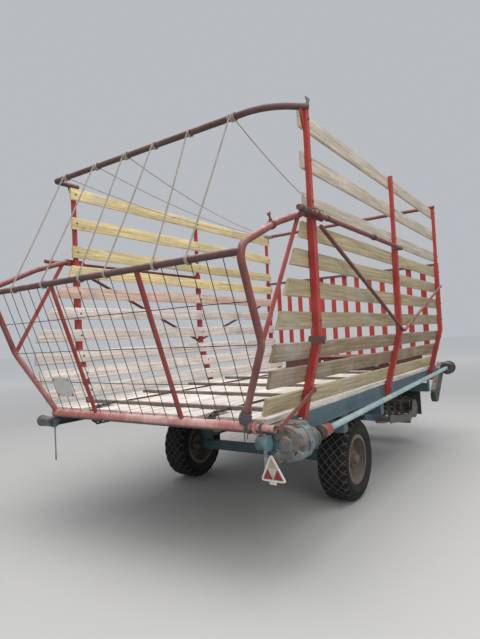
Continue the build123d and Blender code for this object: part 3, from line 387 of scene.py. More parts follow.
class Finish:
    """A new material, and the nodes that work out its look."""

    def __init__(self, name):
        self.material = bpy.data.materials.new(name)
        self.material.use_nodes = True
        self.tree = self.material.node_tree
        self.shader = self.tree.nodes["Principled BSDF"]

    def fill(self, socket, value):
        """Links another node's result to a socket, or puts a plain value on it."""
        if isinstance(value, bpy.types.NodeSocket):
            self.tree.links.new(value, socket)
        else:
            socket.default_value = value

    def node(self, kind, inputs=(), **settings):
        """The outputs of a new node; inputs are pairs of socket name or number and value."""
        made = self.tree.nodes.new(kind)
        for key, value in settings.items():
            setattr(made, key, value)
        for key, value in inputs:
            self.fill(made.inputs[key], value)
        return made.outputs

    def place(self, scale=(1, 1, 1), source="Object"):
        """Coordinates of the object or of its UV map, stretched."""
        found = self.node("ShaderNodeTexCoord")[source]
        return self.node("ShaderNodeMapping", [("Vector", found), ("Scale", scale)])[0]

    def tint(self, output):
        """The tint that a piece carries, as a colour or as one value."""
        return self.node("ShaderNodeAttribute", attribute_name="tint")[output]

    def height_of(self, vector):
        """The Z of a place or a direction."""
        return self.node("ShaderNodeSeparateXYZ", [(0, vector)])["Z"]

    def clouds(self, where, scale, detail=5.0, rough=0.6, distortion=0.0):
        """A soft noise from 0 to 1."""
        inputs = [("Vector", where), ("Scale", scale), ("Detail", detail), ("Roughness", rough),
                  ("Distortion", distortion)]
        return self.node("ShaderNodeTexNoise", inputs)["Fac"]

    def between(self, value, low, high, to_low=0.0, to_high=1.0):
        """Maps value from the range low to high, and holds it at the ends."""
        inputs = [("Value", value), ("From Min", low), ("From Max", high), ("To Min", to_low),
                  ("To Max", to_high)]
        return self.node("ShaderNodeMapRange", inputs)["Result"]

    def patches(self, where, noise, low, high, to_low=0.0, to_high=1.0):
        """Clouds from a row of scale, detail, roughness and distortion, cut to a range."""
        return self.between(self.clouds(where, *noise), low, high, to_low, to_high)

    def math(self, operation, a, b):
        """Arithmetic on two values."""
        return self.node("ShaderNodeMath", [(0, a), (1, b)], operation=operation)[0]

    def times(self, a, b):
        """Product of two values."""
        return self.math("MULTIPLY", a, b)

    def plus(self, a, b):
        """Sum of two values."""
        return self.math("ADD", a, b)

    def minus(self, a, b):
        """Difference of two values."""
        return self.math("SUBTRACT", a, b)

    def dyed(self, share, a, b, how="MIX"):
        """Colour a turned into colour b by share."""
        a, b = [c if isinstance(c, bpy.types.NodeSocket) else (*c, 1.0) for c in (a, b)]
        inputs = [(0, share), (6, a), (7, b)]
        return self.node("ShaderNodeMix", inputs, data_type="RGBA", blend_type=how)[2]

    def facing(self, none, full):
        """0 to 1 as the height of the surface's normal goes from none to full."""
        normal = self.node("ShaderNodeNewGeometry")["Normal"]
        return self.between(self.height_of(normal), none, full)

    def edges(self, radius):
        """1 along the edges of a solid, worked out from how its normal turns nearby."""
        soft = self.node("ShaderNodeBevel", [("Radius", radius)], samples=4)[0]
        plain = self.node("ShaderNodeNewGeometry")["Normal"]
        alike = self.node("ShaderNodeVectorMath", [(0, soft), (1, plain)], operation="DOT_PRODUCT")
        return self.between(alike["Value"], 0.995, 0.85)

    def done(self, colour, rough, height=None, depth=0.0, metallic=0.0, specular=0.5):
        """The material, with its colour, roughness and sheen, and with bumps of height times
        depth metres."""
        looks = {"Base Color": colour, "Roughness": rough, "Metallic": metallic,
                 "Specular IOR Level": specular}
        if height is not None:
            bump = [("Height", height), ("Distance", depth), ("Strength", 1.0)]
            looks["Normal"] = self.node("ShaderNodeBump", bump)[0]
        for key, value in looks.items():
            self.fill(self.shader.inputs[key], value)
        return self.material


def worn_paint(name, coat, faded, under, chips=0.5, rust=(0.14, 0.055, 0.025), gloss=0.45, dust=0.35,
               above=None, top_dust_and_light=(0.42, 0.37, 0.29), painted_shade_below=0.0):
    """Old paint: faded in clouds, chipped to rust in spots and along edges, paler on top from
    dust and bleaching and from painted light from above, darkened underneath with painted
    shade. above is a height with the coat and the faded colour that hold over it."""
    paint = Finish(name)
    where = paint.place()
    if above:
        height, high_coat, high_faded = above
        level = paint.height_of(paint.node("ShaderNodeTexCoord")["Object"])
        over = paint.between(level, height - 0.01, height + 0.01)
        coat = paint.dyed(over, coat, high_coat)
        faded = paint.dyed(over, faded, high_faded)
    cloud = paint.patches(where, (3.5, 4.0), 0.35, 0.68)
    streak = paint.patches(paint.place((26, 26, 3)), (1.0, 4.0), 0.35, 0.75)
    colour = paint.dyed(cloud, coat, faded)
    colour = paint.dyed(paint.times(streak, 0.45), colour, under)
    spots = paint.clouds(where, 42.0, 6.0, 0.7)
    level = paint.plus(spots, paint.times(paint.clouds(where, 6.0, 3.0), 0.55))
    level = paint.plus(level, paint.times(paint.edges(EDGE_WIDTH), 0.22))
    chip = paint.between(level, 1.06 - 0.16 * chips, 1.12 - 0.16 * chips)
    bright_rust = tuple(min(1.0, 2.1 * c) for c in rust)
    rusty = paint.dyed(paint.patches(where, (120.0, 3.0), 0.35, 0.7), rust, bright_rust)
    colour = paint.dyed(chip, colour, rusty)
    # Surfaces that face up turn pale: partly settled dust, partly a painted highlight of light from above
    dust_and_lit_top = paint.times(paint.facing(*LOOKS_UP), paint.patches(where, (14.0, 5.0), 0.3, 0.7))
    colour = paint.dyed(paint.times(dust_and_lit_top, dust), colour, top_dust_and_light)
    # Surfaces that face down are darkened here: painted shade under things
    if painted_shade_below:
        colour = paint.dyed(paint.times(paint.facing(*LOOKS_DOWN), painted_shade_below), colour, UNDERSIDE_SHADE)
    rough = paint.plus(paint.between(chip, 0.0, 1.0, gloss, 0.85), paint.times(cloud, 0.15))
    return paint.done(colour, rough, paint.minus(paint.times(spots, 0.25), chip), 0.0006)


def oily_casting(name, coat, faded, grime, crust):
    """Cast iron under old paint: paint in patches, thick oil and dirt in soft stains between
    them, dry mud on top of those, pale dust where it looks up, and a rough skin."""
    iron = Finish(name)
    where = iron.place()
    colour = iron.dyed(iron.patches(where, (9.0, 4.0), 0.35, 0.65), coat, faded)
    oil = iron.patches(where, (6.5, 8.0, 0.70, 0.6), 0.40, 0.57)
    mud = iron.patches(where, (13.0, 7.0, 0.66, 0.4), 0.44, 0.60)
    speck = iron.patches(where, (95.0, 4.0, 0.7), 0.58, 0.66)
    settled = iron.times(iron.facing(*LOOKS_UP), iron.patches(where, (16.0, 6.0), 0.30, 0.60))
    colour = iron.dyed(oil, colour, grime)
    colour = iron.dyed(iron.times(mud, 0.80), colour, crust)
    colour = iron.dyed(iron.times(speck, 0.6), colour, grime)
    colour = iron.dyed(iron.times(settled, 0.7), colour, PALE_DUST)
    height = iron.plus(iron.times(mud, 0.8), iron.clouds(where, 70.0, 5.0))
    return iron.done(colour, iron.between(mud, 0.0, 1.0, 0.48, 0.9), height, 0.0016)


def bare_metal(name, light, dark, rough=0.5, metallic=0.8):
    """Steel without paint, stained darker in patches, with a little rust."""
    metal = Finish(name)
    where = metal.place()
    stain = metal.patches(where, (18.0, 6.0, 0.65), 0.35, 0.7)
    rust = metal.patches(where, (7.0, 6.0, 0.7), 0.52, 0.7)
    colour = metal.dyed(rust, metal.dyed(stain, light, dark), RUST)
    return metal.done(colour, metal.between(rust, 0.0, 1.0, rough, 0.9), stain, 0.0004,
                      metallic=metal.between(rust, 0.0, 1.0, metallic, 0.05))


DARK_GREY = (0.25, 0.235, 0.21)
LIGHT_GREY = (0.50, 0.48, 0.44)
CRACK = (0.06, 0.045, 0.03)
DAMP = (0.12, 0.10, 0.07)


def old_wood(name):
    """Sawn boards long in the weather: grain and cracks along U, grey patches and dark
    stains, in the tint that each board carries."""
    wood = Finish(name)
    tint = wood.tint("Color")
    fibre = wood.clouds(wood.place((2.2, 60.0, 1.0), "UV"), 1.0, 8.0, 0.7, 0.6)
    wide = wood.patches(wood.place((0.9, 9.0, 1.0), "UV"), (1.0, 4.0, 0.55, 1.2), 0.45, 0.75, 0.0, 0.55)
    crack = wood.patches(wood.place((0.7, 130.0, 1.0), "UV"), (1.0, 6.0, 0.6, 0.3), 0.70, 0.76)
    grey_share = wood.patches(wood.place(), (2.6, 5.0, 0.6), 0.50, 0.72, 0.0, 0.65)
    stain = wood.patches(wood.place(), (11.0, 6.0, 0.65), 0.58, 0.78, 0.0, 0.45)
    dark = wood.dyed(1.0, tint, (0.50, 0.46, 0.40), "MULTIPLY")
    light = wood.dyed(1.0, tint, (1.22, 1.20, 1.18), "MULTIPLY")
    grey = wood.dyed(wood.between(fibre, 0.3, 0.7), DARK_GREY, LIGHT_GREY)
    colour = wood.dyed(wood.between(fibre, 0.30, 0.66), dark, light)
    colour = wood.dyed(wide, colour, dark)
    colour = wood.dyed(grey_share, colour, grey)
    colour = wood.dyed(crack, colour, CRACK)
    colour = wood.dyed(stain, colour, DAMP)
    return wood.done(colour, 0.88, wood.minus(fibre, wood.times(crack, 1.4)), 0.0016, specular=0.25)


def dusty_rubber(name, dark, dust, share):
    """Black rubber gone grey: dust in clouds, and more where the tint that it carries is pale."""
    rubber = Finish(name)
    where = rubber.place()
    cloud = rubber.patches(where, (9.0, 6.0, 0.65), 0.38, 0.70, 0.0, share)
    worn = rubber.times(rubber.tint("Fac"), rubber.patches(where, (30.0, 4.0), 0.25, 0.60, 0.55, 1.0))
    colour = rubber.dyed(rubber.math("MAXIMUM", cloud, worn), dark, dust)
    return rubber.done(colour, 0.82, rubber.clouds(where, 160.0, 4.0), 0.0005, specular=0.22)


def plain_finish(name, colour, rough, bump, stain, share):
    """An even coat with a little grime."""
    coat = Finish(name)
    where = coat.place()
    grime = coat.patches(where, (16.0, 6.0, 0.65), 0.45, 0.75, 0.0, share)
    return coat.done(coat.dyed(grime, colour, stain), rough, coat.clouds(where, 60.0, 4.0), bump)


def spun_rope(name, pale, dark):
    """Twisted fibre, dirty in clouds."""
    rope = Finish(name)
    where = rope.place()
    hair = rope.clouds(where, 420.0, 3.0, 0.7)
    dirt = rope.patches(where, (15.0, 5.0), 0.4, 0.75)
    colour = rope.dyed(rope.between(hair, 0.3, 0.7), dark, pale)
    return rope.done(rope.dyed(rope.times(dirt, 0.5), colour, dark), 0.95, hair, 0.0008)


def lens_finish(name, colour):
    """Moulded reflector: a clear coloured face over many small facets, a little dusty."""
    lens = Finish(name)
    cells = lens.node("ShaderNodeTexVoronoi", [("Vector", lens.place()), ("Scale", 190.0)])["Distance"]
    grime = lens.patches(lens.place(), (22.0, 5.0), 0.48, 0.75, 0.0, 0.45)
    deep = tuple(0.55 * c for c in colour)
    facets = lens.dyed(lens.between(cells, 0.1, 0.7), colour, deep)
    return lens.done(lens.dyed(grime, facets, (0.24, 0.19, 0.14)), 0.22, cells, 0.0012)


# In each finish below, the share of darkening on surfaces that face down is painted shade. The share and
# colour of paling on surfaces that face up stand partly for settled dust and partly for painted light from
# above.
POST_RED = worn_paint("post_red", (0.38, 0.023, 0.017), (0.43, 0.055, 0.043), (0.14, 0.018, 0.015),
                      0.72, rust=(0.085, 0.034, 0.022))
TUBE_RED = worn_paint("tube_red", (0.19, 0.034, 0.028), (0.27, 0.085, 0.070), (0.075, 0.027, 0.023),
                      1.0, gloss=0.55, dust=0.75, top_dust_and_light=(0.42, 0.28, 0.25), painted_shade_below=0.65)
GATE_RED = worn_paint("gate_red", (0.26, 0.068, 0.058), (0.42, 0.21, 0.19), (0.11, 0.038, 0.033),
                      0.9, gloss=0.55, dust=1.0, top_dust_and_light=(0.46, 0.34, 0.31), painted_shade_below=0.75,
                      above=(1.40, (0.185, 0.036, 0.030), (0.27, 0.095, 0.080)))
TUBE_BROWN = worn_paint("tube_brown", (0.110, 0.050, 0.044), (0.18, 0.105, 0.095), (0.050, 0.028, 0.025),
                        1.0, gloss=0.6, dust=0.6, top_dust_and_light=(0.34, 0.27, 0.26), painted_shade_below=0.6)
BAR_PINK = worn_paint("bar_pink", (0.44, 0.125, 0.105), (0.68, 0.40, 0.37), (0.26, 0.070, 0.060),
                      0.7, gloss=0.5, dust=0.60, top_dust_and_light=(0.60, 0.47, 0.44), painted_shade_below=0.85,
                      above=(1.60, (0.075, 0.036, 0.032), (0.13, 0.078, 0.072)))
BAR_RED = worn_paint("bar_red", (0.29, 0.027, 0.021), (0.35, 0.070, 0.055), (0.11, 0.022, 0.018),
                     0.8, gloss=0.5, dust=0.5, top_dust_and_light=(0.45, 0.26, 0.22), painted_shade_below=0.5)
CLAMP_RED = worn_paint("clamp_red", (0.20, 0.016, 0.012), (0.16, 0.03, 0.024), (0.08, 0.015, 0.012), 0.8)
SLAT_RED = worn_paint("slat_red", (0.46, 0.03, 0.022), (0.45, 0.06, 0.04), (0.22, 0.026, 0.02), 0.4)
DULL_RED = worn_paint("dull_red", (0.13, 0.04, 0.034), (0.10, 0.07, 0.06), (0.05, 0.04, 0.034),
                      1.2, gloss=0.7, dust=0.8)
GREY_BEAM = worn_paint("grey_beam", (0.12, 0.125, 0.12), (0.19, 0.18, 0.165), (0.06, 0.055, 0.05),
                       1.25, gloss=0.7, dust=0.8, painted_shade_below=0.5)
BLUE = worn_paint("chassis_blue", (0.045, 0.105, 0.132), (0.100, 0.155, 0.180), (0.03, 0.050, 0.058),
                  0.8, dust=0.6, painted_shade_below=0.5)
BLUE_DRIVE = worn_paint("shaft_blue", (0.25, 0.42, 0.45), (0.44, 0.54, 0.55), (0.14, 0.20, 0.20), 0.4)
BLUE_OILY = oily_casting("gearbox_blue", (0.07, 0.19, 0.23), (0.15, 0.27, 0.31), (0.045, 0.040, 0.034),
                         (0.21, 0.165, 0.135))
OILY = oily_casting("oily_iron", (0.045, 0.075, 0.085), (0.08, 0.105, 0.11), (0.025, 0.022, 0.018),
                    (0.10, 0.085, 0.068))
BAR_STEEL = worn_paint("bar_steel", (0.15, 0.125, 0.105), (0.25, 0.215, 0.185), (0.09, 0.075, 0.062),
                       0.7, gloss=0.75, dust=0.7, painted_shade_below=0.5)
BAND_GREY = bare_metal("band_grey", (0.21, 0.195, 0.175), (0.095, 0.085, 0.073), 0.55, 0.5)
GUARD_RED = worn_paint("guard_red", (0.30, 0.035, 0.022), (0.36, 0.15, 0.11), (0.13, 0.03, 0.024), 1.0)
RIM_BEIGE = worn_paint("rim_beige", (0.175, 0.140, 0.115), (0.115, 0.085, 0.068), (0.055, 0.040, 0.033),
                       1.1, rust=(0.085, 0.050, 0.034))
STEEL = bare_metal("bare_steel", (0.26, 0.25, 0.235), (0.10, 0.095, 0.085))
BOLT = bare_metal("old_bolts", (0.22, 0.175, 0.145), (0.11, 0.080, 0.062), 0.6, 0.45)
CHAIN = bare_metal("chain_steel", (0.10, 0.085, 0.07), (0.045, 0.036, 0.03), 0.6)
WIRE = bare_metal("mesh_wire", (0.10, 0.075, 0.06), (0.045, 0.034, 0.028), 0.65, 0.4)
ZINC = bare_metal("zinc", (0.42, 0.43, 0.43), (0.22, 0.22, 0.21), 0.45, 0.85)
WOOD = old_wood("old_wood")
RUBBER = dusty_rubber("tyre_rubber", (0.006, 0.006, 0.007), (0.080, 0.076, 0.070), 0.20)
HOOD = dusty_rubber("hood_rubber", (0.014, 0.014, 0.014), (0.06, 0.055, 0.05), 0.35)
CLOTH = plain_finish("apron_cloth", (0.035, 0.035, 0.033), 0.85, 0.0006, (0.10, 0.085, 0.07), 0.6)
PLATE = plain_finish("plate_white", (0.55, 0.55, 0.52), 0.35, 0.0001, (0.25, 0.21, 0.17), 0.5)
LAMP_WHITE = plain_finish("lamp_white", (0.70, 0.69, 0.64), 0.25, 0.0002, (0.3, 0.27, 0.22), 0.5)
ROPE = spun_rope("rope", (0.50, 0.46, 0.39), (0.20, 0.18, 0.15))
ROPE_GREY = spun_rope("rope_grey", (0.17, 0.165, 0.165), (0.07, 0.067, 0.066))
ROPE_DARK = spun_rope("rope_dark", (0.12, 0.10, 0.08), (0.04, 0.034, 0.03))

# The frame's pieces that carry each finish
FINISHES = {
    POST_RED: ("lower_posts", "upper_posts", "gate_hinges", "apron_bar"),
    TUBE_RED: ("front_bar", "latch_bar", "side_braces"),
    GATE_RED: ("gate_sides",),
    BAR_RED: ("gate_bars",),
    TUBE_BROWN: ("rear_bow",),
    BAR_PINK: ("gate_cross_tubes", "front_rails"),
    SLAT_RED: ("front_slats",),
    DULL_RED: ("feed_channel", "feed_panel"),
    BAND_GREY: ("stripper_bands",),
    BAR_STEEL: ("scraper_bars",),
    GREY_BEAM: ("pickup_frame",),
    BLUE: ("axle", "beam_brackets", "chassis_beams", "cross_channels", "cross_members", "drawbar_beams",
           "gearbox_mounts", "jack_sleeve", "side_rails"),
    BLUE_DRIVE: ("drive_shaft",),
    BLUE_OILY: ("rear_gearbox",),
    OILY: ("front_gearbox",),
    RIM_BEIGE: ("rim_left", "rim_right"),
    STEEL: ("feed_rotor", "floor_shafts", "input_shaft", "jack_leg", "pickup_reel", "tow_eye"),
    ZINC: ("reflector_straps",),
    CHAIN: ("floor_chains",),
    PLATE: ("speed_plate",),
    CLOTH: ("apron",),
}


def paint_nodes():
    """Puts each finish on the frame's pieces that carry it."""
    for material, names in FINISHES.items():
        for name in names:
            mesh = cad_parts[name].data
            mesh.materials.clear()
            mesh.materials.append(material)


paint_nodes()


# Boards

WAVE_KNOTS = 7
BOARD_STATIONS = 26
WIDTH_WAVE_SHARE = 0.012
EDGE_WAVE = 0.0018
FACE_WAVE = 0.00056
CUP_DEPTH = 0.0012
RAGGED_END = 0.002
GRAIN_LENGTH = 40
SHADE_SPREAD = 0.07


def wavy(count, size):
    """A random line of count values, about size high, straight between its drawn knots."""
    knots = chance.normal(0, size, WAVE_KNOTS)
    return np.interp(np.linspace(0, WAVE_KNOTS - 1, count), np.arange(WAVE_KNOTS), knots)


def board(rear_y, front_y, height, thick, tint, edge=0.004):
    """A board along Y about the origin, as rings of (x, y, z): its height lies along Z and
    its thickness along X. rear_y is a pair, the ends of its upper and its lower edge. It
    wavers a little, and it cups with the square of the distance from its middle."""
    stations = BOARD_STATIONS
    ring = rounded(height, thick, edge)
    share = np.linspace(0, 1, stations)[:, None]
    up = np.tile(ring[:, 0], (stations, 1))
    out = np.tile(ring[:, 1], (stations, 1))
    up *= 1 + wavy(stations, WIDTH_WAVE_SHARE)[:, None]
    up += wavy(stations, EDGE_WAVE)[:, None]
    cup = CUP_DEPTH * (2 * up / height) ** 2 * chance.choice((-1, 1))
    out += cup + wavy(stations, FACE_WAVE)[:, None]
    rear = rear_y[1] + (rear_y[0] - rear_y[1]) * (up / height + 0.5)
    rear = rear + chance.normal(0, RAGGED_END, len(ring))
    y = rear * (1 - share) + front_y * share
    start_of_grain = chance.uniform(0, GRAIN_LENGTH)
    part = loft(np.stack([out, y, up], axis=-1), share[:, 0] * (front_y - rear_y[0]) + start_of_grain)
    shade = 1 + chance.normal(0, SHADE_SPREAD)
    part["tint"] = (*(np.array(TINTS[tint]) * shade), 1.0)
    return part


def post_x(z):
    """Distance of a post's axis from the middle at height z."""
    return POST_X if z >= KNEE_Z else FOOT_X + max(0.0, z - FOOT_TOP_Z) * np.tan(LEAN)


def side_planks(column):
    """The ten planks of a side, from the tints in that column of the table: upright above
    the knee of the posts, leaning with them below."""
    parts = []
    for number, row in enumerate(PLANKS):
        top, rear_top, rear_low = row[:3]
        middle = top - PLANK_HEIGHT / 2
        post = UPPER_POST if number < UPPER_PLANKS else LOWER_POST
        inside = -post / 2 - PLANK_THICK / 2
        rear = (REAR_Y - rear_top, REAR_Y - rear_low)
        part = board(rear, PLANK_FRONT, PLANK_HEIGHT, PLANK_THICK, row[column])
        if top > KNEE_Z:
            parts.append(moved(part, (POST_X + inside, 0, middle)))
        else:
            parts.append(moved(moved(part, (inside, 0, 0)), (post_x(middle), 0, middle), LEAN))
    return parts


piece("wood_planks_right", side_planks(RIGHT_TINT), WOOD, "wagon", ["planks_right"])
piece("wood_planks_left", mirrored(side_planks(LEFT_TINT)), WOOD, "wagon", ["planks_left"])

BOARD_PITCH = 0.164
BOARD_WIDTH = 0.160
BOARD_THICK = 0.030
BOARD_EDGE = 0.003
BOARDS_PER_SIDE = 6
BOARD_FRONT_Y = REAR_Y + 2.906
CHAIN_BOARD = 3
CHAIN_BOARD_ENDS = (REAR_Y - 0.208, REAR_Y + 2.708)
OUTER_FRONT_Y = REAR_Y + 3.372
EDGE_BOARD = (0.035, 0.036)
EDGE_BOARD_X = 1.006


def floor_parts():
    """Boards of the floor: the one under each chain is shorter, those outside it reach on
    beside the feed channel. Then an edge board on each side rail."""
    parts = []
    for number in range(BOARDS_PER_SIDE):
        middle = BOARD_PITCH / 2 + BOARD_PITCH * number
        rear, front = rail_low.y, BOARD_FRONT_Y
        if number == CHAIN_BOARD:
            rear, front = CHAIN_BOARD_ENDS
        if number > CHAIN_BOARD:
            front = OUTER_FRONT_Y
        for side in (-1, 1):
            part = board((rear, rear), front, BOARD_THICK, BOARD_WIDTH, "floor", BOARD_EDGE)
            parts.append(moved(part, (side * middle, 0, FLOOR_Z + BOARD_THICK / 2)))
    for side in (-1, 1):
        part = board((rail_low.y, rail_low.y), rail_high.y, *EDGE_BOARD, "sill", BOARD_EDGE)
        parts.append(moved(part, (side * EDGE_BOARD_X, 0, FLOOR_Z + EDGE_BOARD[0] / 2)))
    return parts


piece("wood_floor", floor_parts(), WOOD, "wagon", ["floor_boards"])


# Tailgate mesh

WIRE_RADIUS = 0.0026
WIRE_PITCH = 0.109
FIRST_WIRE_X = 0.070
UPRIGHT_WIRES = range(-10, 10)
BAR_CLEARANCE = 0.019
END_SHARE = 0.012
SIDE_GAP = 0.018
CROSS_WIRES = 3
CROSS_FIRST = 0.019
CROSS_SPAN = 0.974
CROSS_WHOLE = 1.022
CROSS_OUT = 0.005


def gate_point(x, share, out=0.0):
    """A point in the plane of the gate: share 0 at the cross tube, 1 at the bottom bar."""
    return GATE_TOP + (x, 0, 0) + GATE_RUN * share + GATE_NORMAL * out


def mesh_wires():
    """Upright wires, bent a little, from the cross tube to the bottom bar or the leaning side
    tube, none where an inner bar stands; then the cross wires that they are welded to."""
    foot_x, knee_x, foot_z, knee_z = GATE_FOOT[0], GATE_KNEE[0], GATE_FOOT[2], GATE_KNEE[2]
    parts = []
    for number in UPRIGHT_WIRES:
        x = FIRST_WIRE_X + WIRE_PITCH * number
        if abs(abs(x) - INNER_BAR_X) < BAR_CLEARANCE:
            continue
        low_z = np.interp(abs(x), [foot_x, knee_x], [foot_z, knee_z])
        last = (CROSS_Z - low_z) / (CROSS_Z - foot_z) - END_SHARE
        share = np.linspace(END_SHARE, last, 26)[:, None]
        sway = wavy(26, 0.0022)[:, None] * np.sin(pi * share)
        parts.append(tube(gate_point(x, share) + sway * RIGHT, WIRE_RADIUS, RIGHT, 8))
    for number in range(CROSS_WIRES):
        share = (CROSS_FIRST + CROSS_SPAN * (number + 1) / (CROSS_WIRES + 1)) / CROSS_WHOLE
        reach = np.interp(gate_point(0, share)[2], [foot_z, knee_z], [foot_x, knee_x]) - SIDE_GAP
        x = np.linspace(-reach, reach, 60)
        path = gate_point(0, share, CROSS_OUT) + np.stack([x, 0 * x, wavy(60, 0.002)], axis=-1)
        parts.append(tube(path, WIRE_RADIUS, UP, 8))
    return parts


piece("gate_mesh", mesh_wires(), WIRE, "tailgate", ["gate_mesh_uprights", "gate_mesh_rows"], 60)


# Tyres

TYRE_CORNERS = ((-0.108, 0.207), (-0.131, 0.262), (-0.112, 0.312), (-0.094, 0.331),
                (0.094, 0.331), (0.112, 0.312), (0.131, 0.262), (0.108, 0.207))
TYRE_POINTS = (8, 8, 6, 74, 6, 8, 8)
TYRE_AROUND = 650
TYRE_HALF_WIDTH = 0.131
TYRE_SHOULDER = 0.318
WALL_TOP, WALL_REACH = 0.320, 0.113
WALL_WIDEST = 1.05
WALL_BULGE = 0.023
CROWN_RISE = 0.004
CROWN_HALF_WIDTH = 0.100
RIB_PAIRS = 26
RIB_SLANT = 0.0715
RIB_HEIGHT = 0.0048
RIB_START, RIB_FLANK = 0.415, 0.030
RIB_END_X, RIB_FADE_X = 0.128, 0.006
RIB_FOOT, RIB_FADE = 0.286, 0.010
SIDE_DUST = 0.35
DUST_TOP, DUST_FADE = 0.300, 0.05


def tyre():
    """A tyre turned about its axle: the section runs from bead to bead over the crown, with
    the walls and the crown bulging as parabolas. A lattice of raised ribs, two sets of
    slanting lines that cross in diamonds, stands on it and fades out down the walls."""
    sides = zip(TYRE_CORNERS, TYRE_CORNERS[1:], TYRE_POINTS)
    runs = [line(a, b, count)[:-1] for a, b, count in sides]
    x, radius = np.concatenate(runs + [TYRE_CORNERS[-1:]]).T
    belly = ramp(WALL_TOP - radius, WALL_REACH)
    wall = TYRE_HALF_WIDTH - WALL_BULGE * (2 * belly - WALL_WIDEST) ** 2
    x = np.sign(x) * np.where(radius < TYRE_SHOULDER, wall, np.abs(x))
    radius = radius + CROWN_RISE * np.clip(1 - (x / CROWN_HALF_WIDTH) ** 2, 0, 1)
    angle = np.linspace(0, 2 * pi, TYRE_AROUND, endpoint=False)[:, None]
    turn = angle * RIB_PAIRS / (2 * pi)
    slant = x / RIB_SLANT
    first = np.abs((turn + slant) % 1.0 - 0.5)
    second = np.abs((turn - slant) % 1.0 - 0.5)
    on_crown = ramp(RIB_END_X - np.abs(x), RIB_FADE_X) * ramp(radius - RIB_FOOT, RIB_FADE)
    rib = ramp(np.maximum(first, second) - RIB_START, RIB_FLANK) * on_crown
    reach = radius + RIB_HEIGHT * rib
    across = np.tile(x, (TYRE_AROUND, 1))
    grid = np.stack([across, reach * np.cos(angle), reach * np.sin(angle)], axis=-1) + HUB
    part = seamed(shell(np.concatenate([grid, grid[:1]])), TYRE_AROUND * len(x))
    dust = np.maximum(rib, SIDE_DUST * ramp(DUST_TOP - radius, DUST_FADE))
    part["tint"] = np.repeat(dust.reshape(-1, 1), 4, axis=1)
    return part


tread = tyre()
piece("tyre_tread_right", [tread], RUBBER, "wheel_right", ["tyre_right"])
piece("tyre_tread_left", [flipped(tread)], RUBBER, "wheel_left", ["tyre_left"])


# Ropes

STRANDS = 3
STRAND_OFFSET = 0.54
STRAND_RADIUS = 0.53
WINDING_POINTS = 18
WINDING_PITCH = 2.1


def strands(path, radius, reference, lay=0.032, steps=7, ring=6):
    """Strands twisted round a path, each a round bar whose middle runs on a helix with one
    turn to a lay's length. Offset and radius of a strand are shares of the rope's radius."""
    path = np.asarray(path, float)
    length = distances(path)
    count = max(8, int(length[-1] / lay * steps))
    s = np.linspace(0, length[-1], count)
    middle = np.stack([np.interp(s, length, path[:, k]) for k in range(3)], axis=-1)
    parts = []
    strand = circle(STRAND_RADIUS * radius, ring)[None]
    for k in range(STRANDS):
        angle = 2 * pi * (s / lay + k / STRANDS)
        twist = STRAND_OFFSET * radius * np.stack([np.cos(angle), np.sin(angle)], axis=-1)
        parts.append(loft(carried(middle, strand + twist[:, None], reference)))
    return parts


def wrapped(centre, axis, radius, rope, turns, reference=UP):
    """Rope wound round a bar: a helix of some turns along the axis."""
    t = np.linspace(0, turns, int(WINDING_POINTS * turns))[:, None]
    axis = np.asarray(axis, float)
    up = np.asarray(reference, float)
    ring = np.cos(2 * pi * t) * up + np.sin(2 * pi * t) * np.cross(axis, up)
    path = np.asarray(centre) + (radius + rope) * ring + (t - turns / 2) * WINDING_PITCH * rope * axis
    return tube(path, rope, axis, 8)


def sagging(head, foot, sag, count):
    """A line between two points, lowered by a parabola: 4 sag t (1 - t)."""
    t = np.linspace(0, 1, count)[:, None]
    return line(head, foot, count) - np.array([0, 0, sag]) * 4 * t * (1 - t)


# One row for each rope behind the bow: x of its head on the bow, x of its foot on the cross tube.
BOW_ROPES = ((-1.022, -0.861), (-0.624, -0.498), (-0.274, -0.092), (0.040, 0.156), (0.380, 0.572),
             (0.744, 0.823))
ROPE_RADIUS = 0.0060
ROPE_SAG = 0.012
KNOT_ROPE = 0.0046
KNOT_TURNS = 1.8


def bow_ropes():
    """Ropes from the bow to the gate's cross tube, and the knots at their heads and feet."""
    runs, heads, feet = [], [], []
    for head_x, foot_x in BOW_ROPES:
        head = (head_x, BOW_Y - BOW_RADIUS - ROPE_RADIUS, BOW_Z)
        foot = (foot_x, CROSS_Y - CROSS_RADIUS - ROPE_RADIUS, CROSS_Z)
        runs += strands(sagging(head, foot, ROPE_SAG, 24), ROPE_RADIUS, RIGHT)
        heads.append(wrapped((head_x, BOW_Y, BOW_Z), RIGHT, BOW_RADIUS, KNOT_ROPE, KNOT_TURNS))
        feet.append(wrapped((foot_x, CROSS_Y, CROSS_Z), RIGHT, CROSS_RADIUS, KNOT_ROPE, KNOT_TURNS))
    ropes = piece("rear_ropes", runs, ROPE, "wagon", sharp=80)
    ropes.parent = None
    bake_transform(ropes)
    piece("bow_knots", heads, ROPE, "wagon", sharp=80)
    piece("cross_tube_knots", feet, ROPE, "tailgate", sharp=80)


bow_ropes()

# One row for each rope over the load: x of its head on the bow, x of its foot on the front bar.
LOAD_ROPES = ((-1.022, -1.135), (-0.624, -1.115), (-0.274, -1.085), (0.744, 0.010))
LOAD_ROPE = 0.0042
LOAD_SAG = 0.095


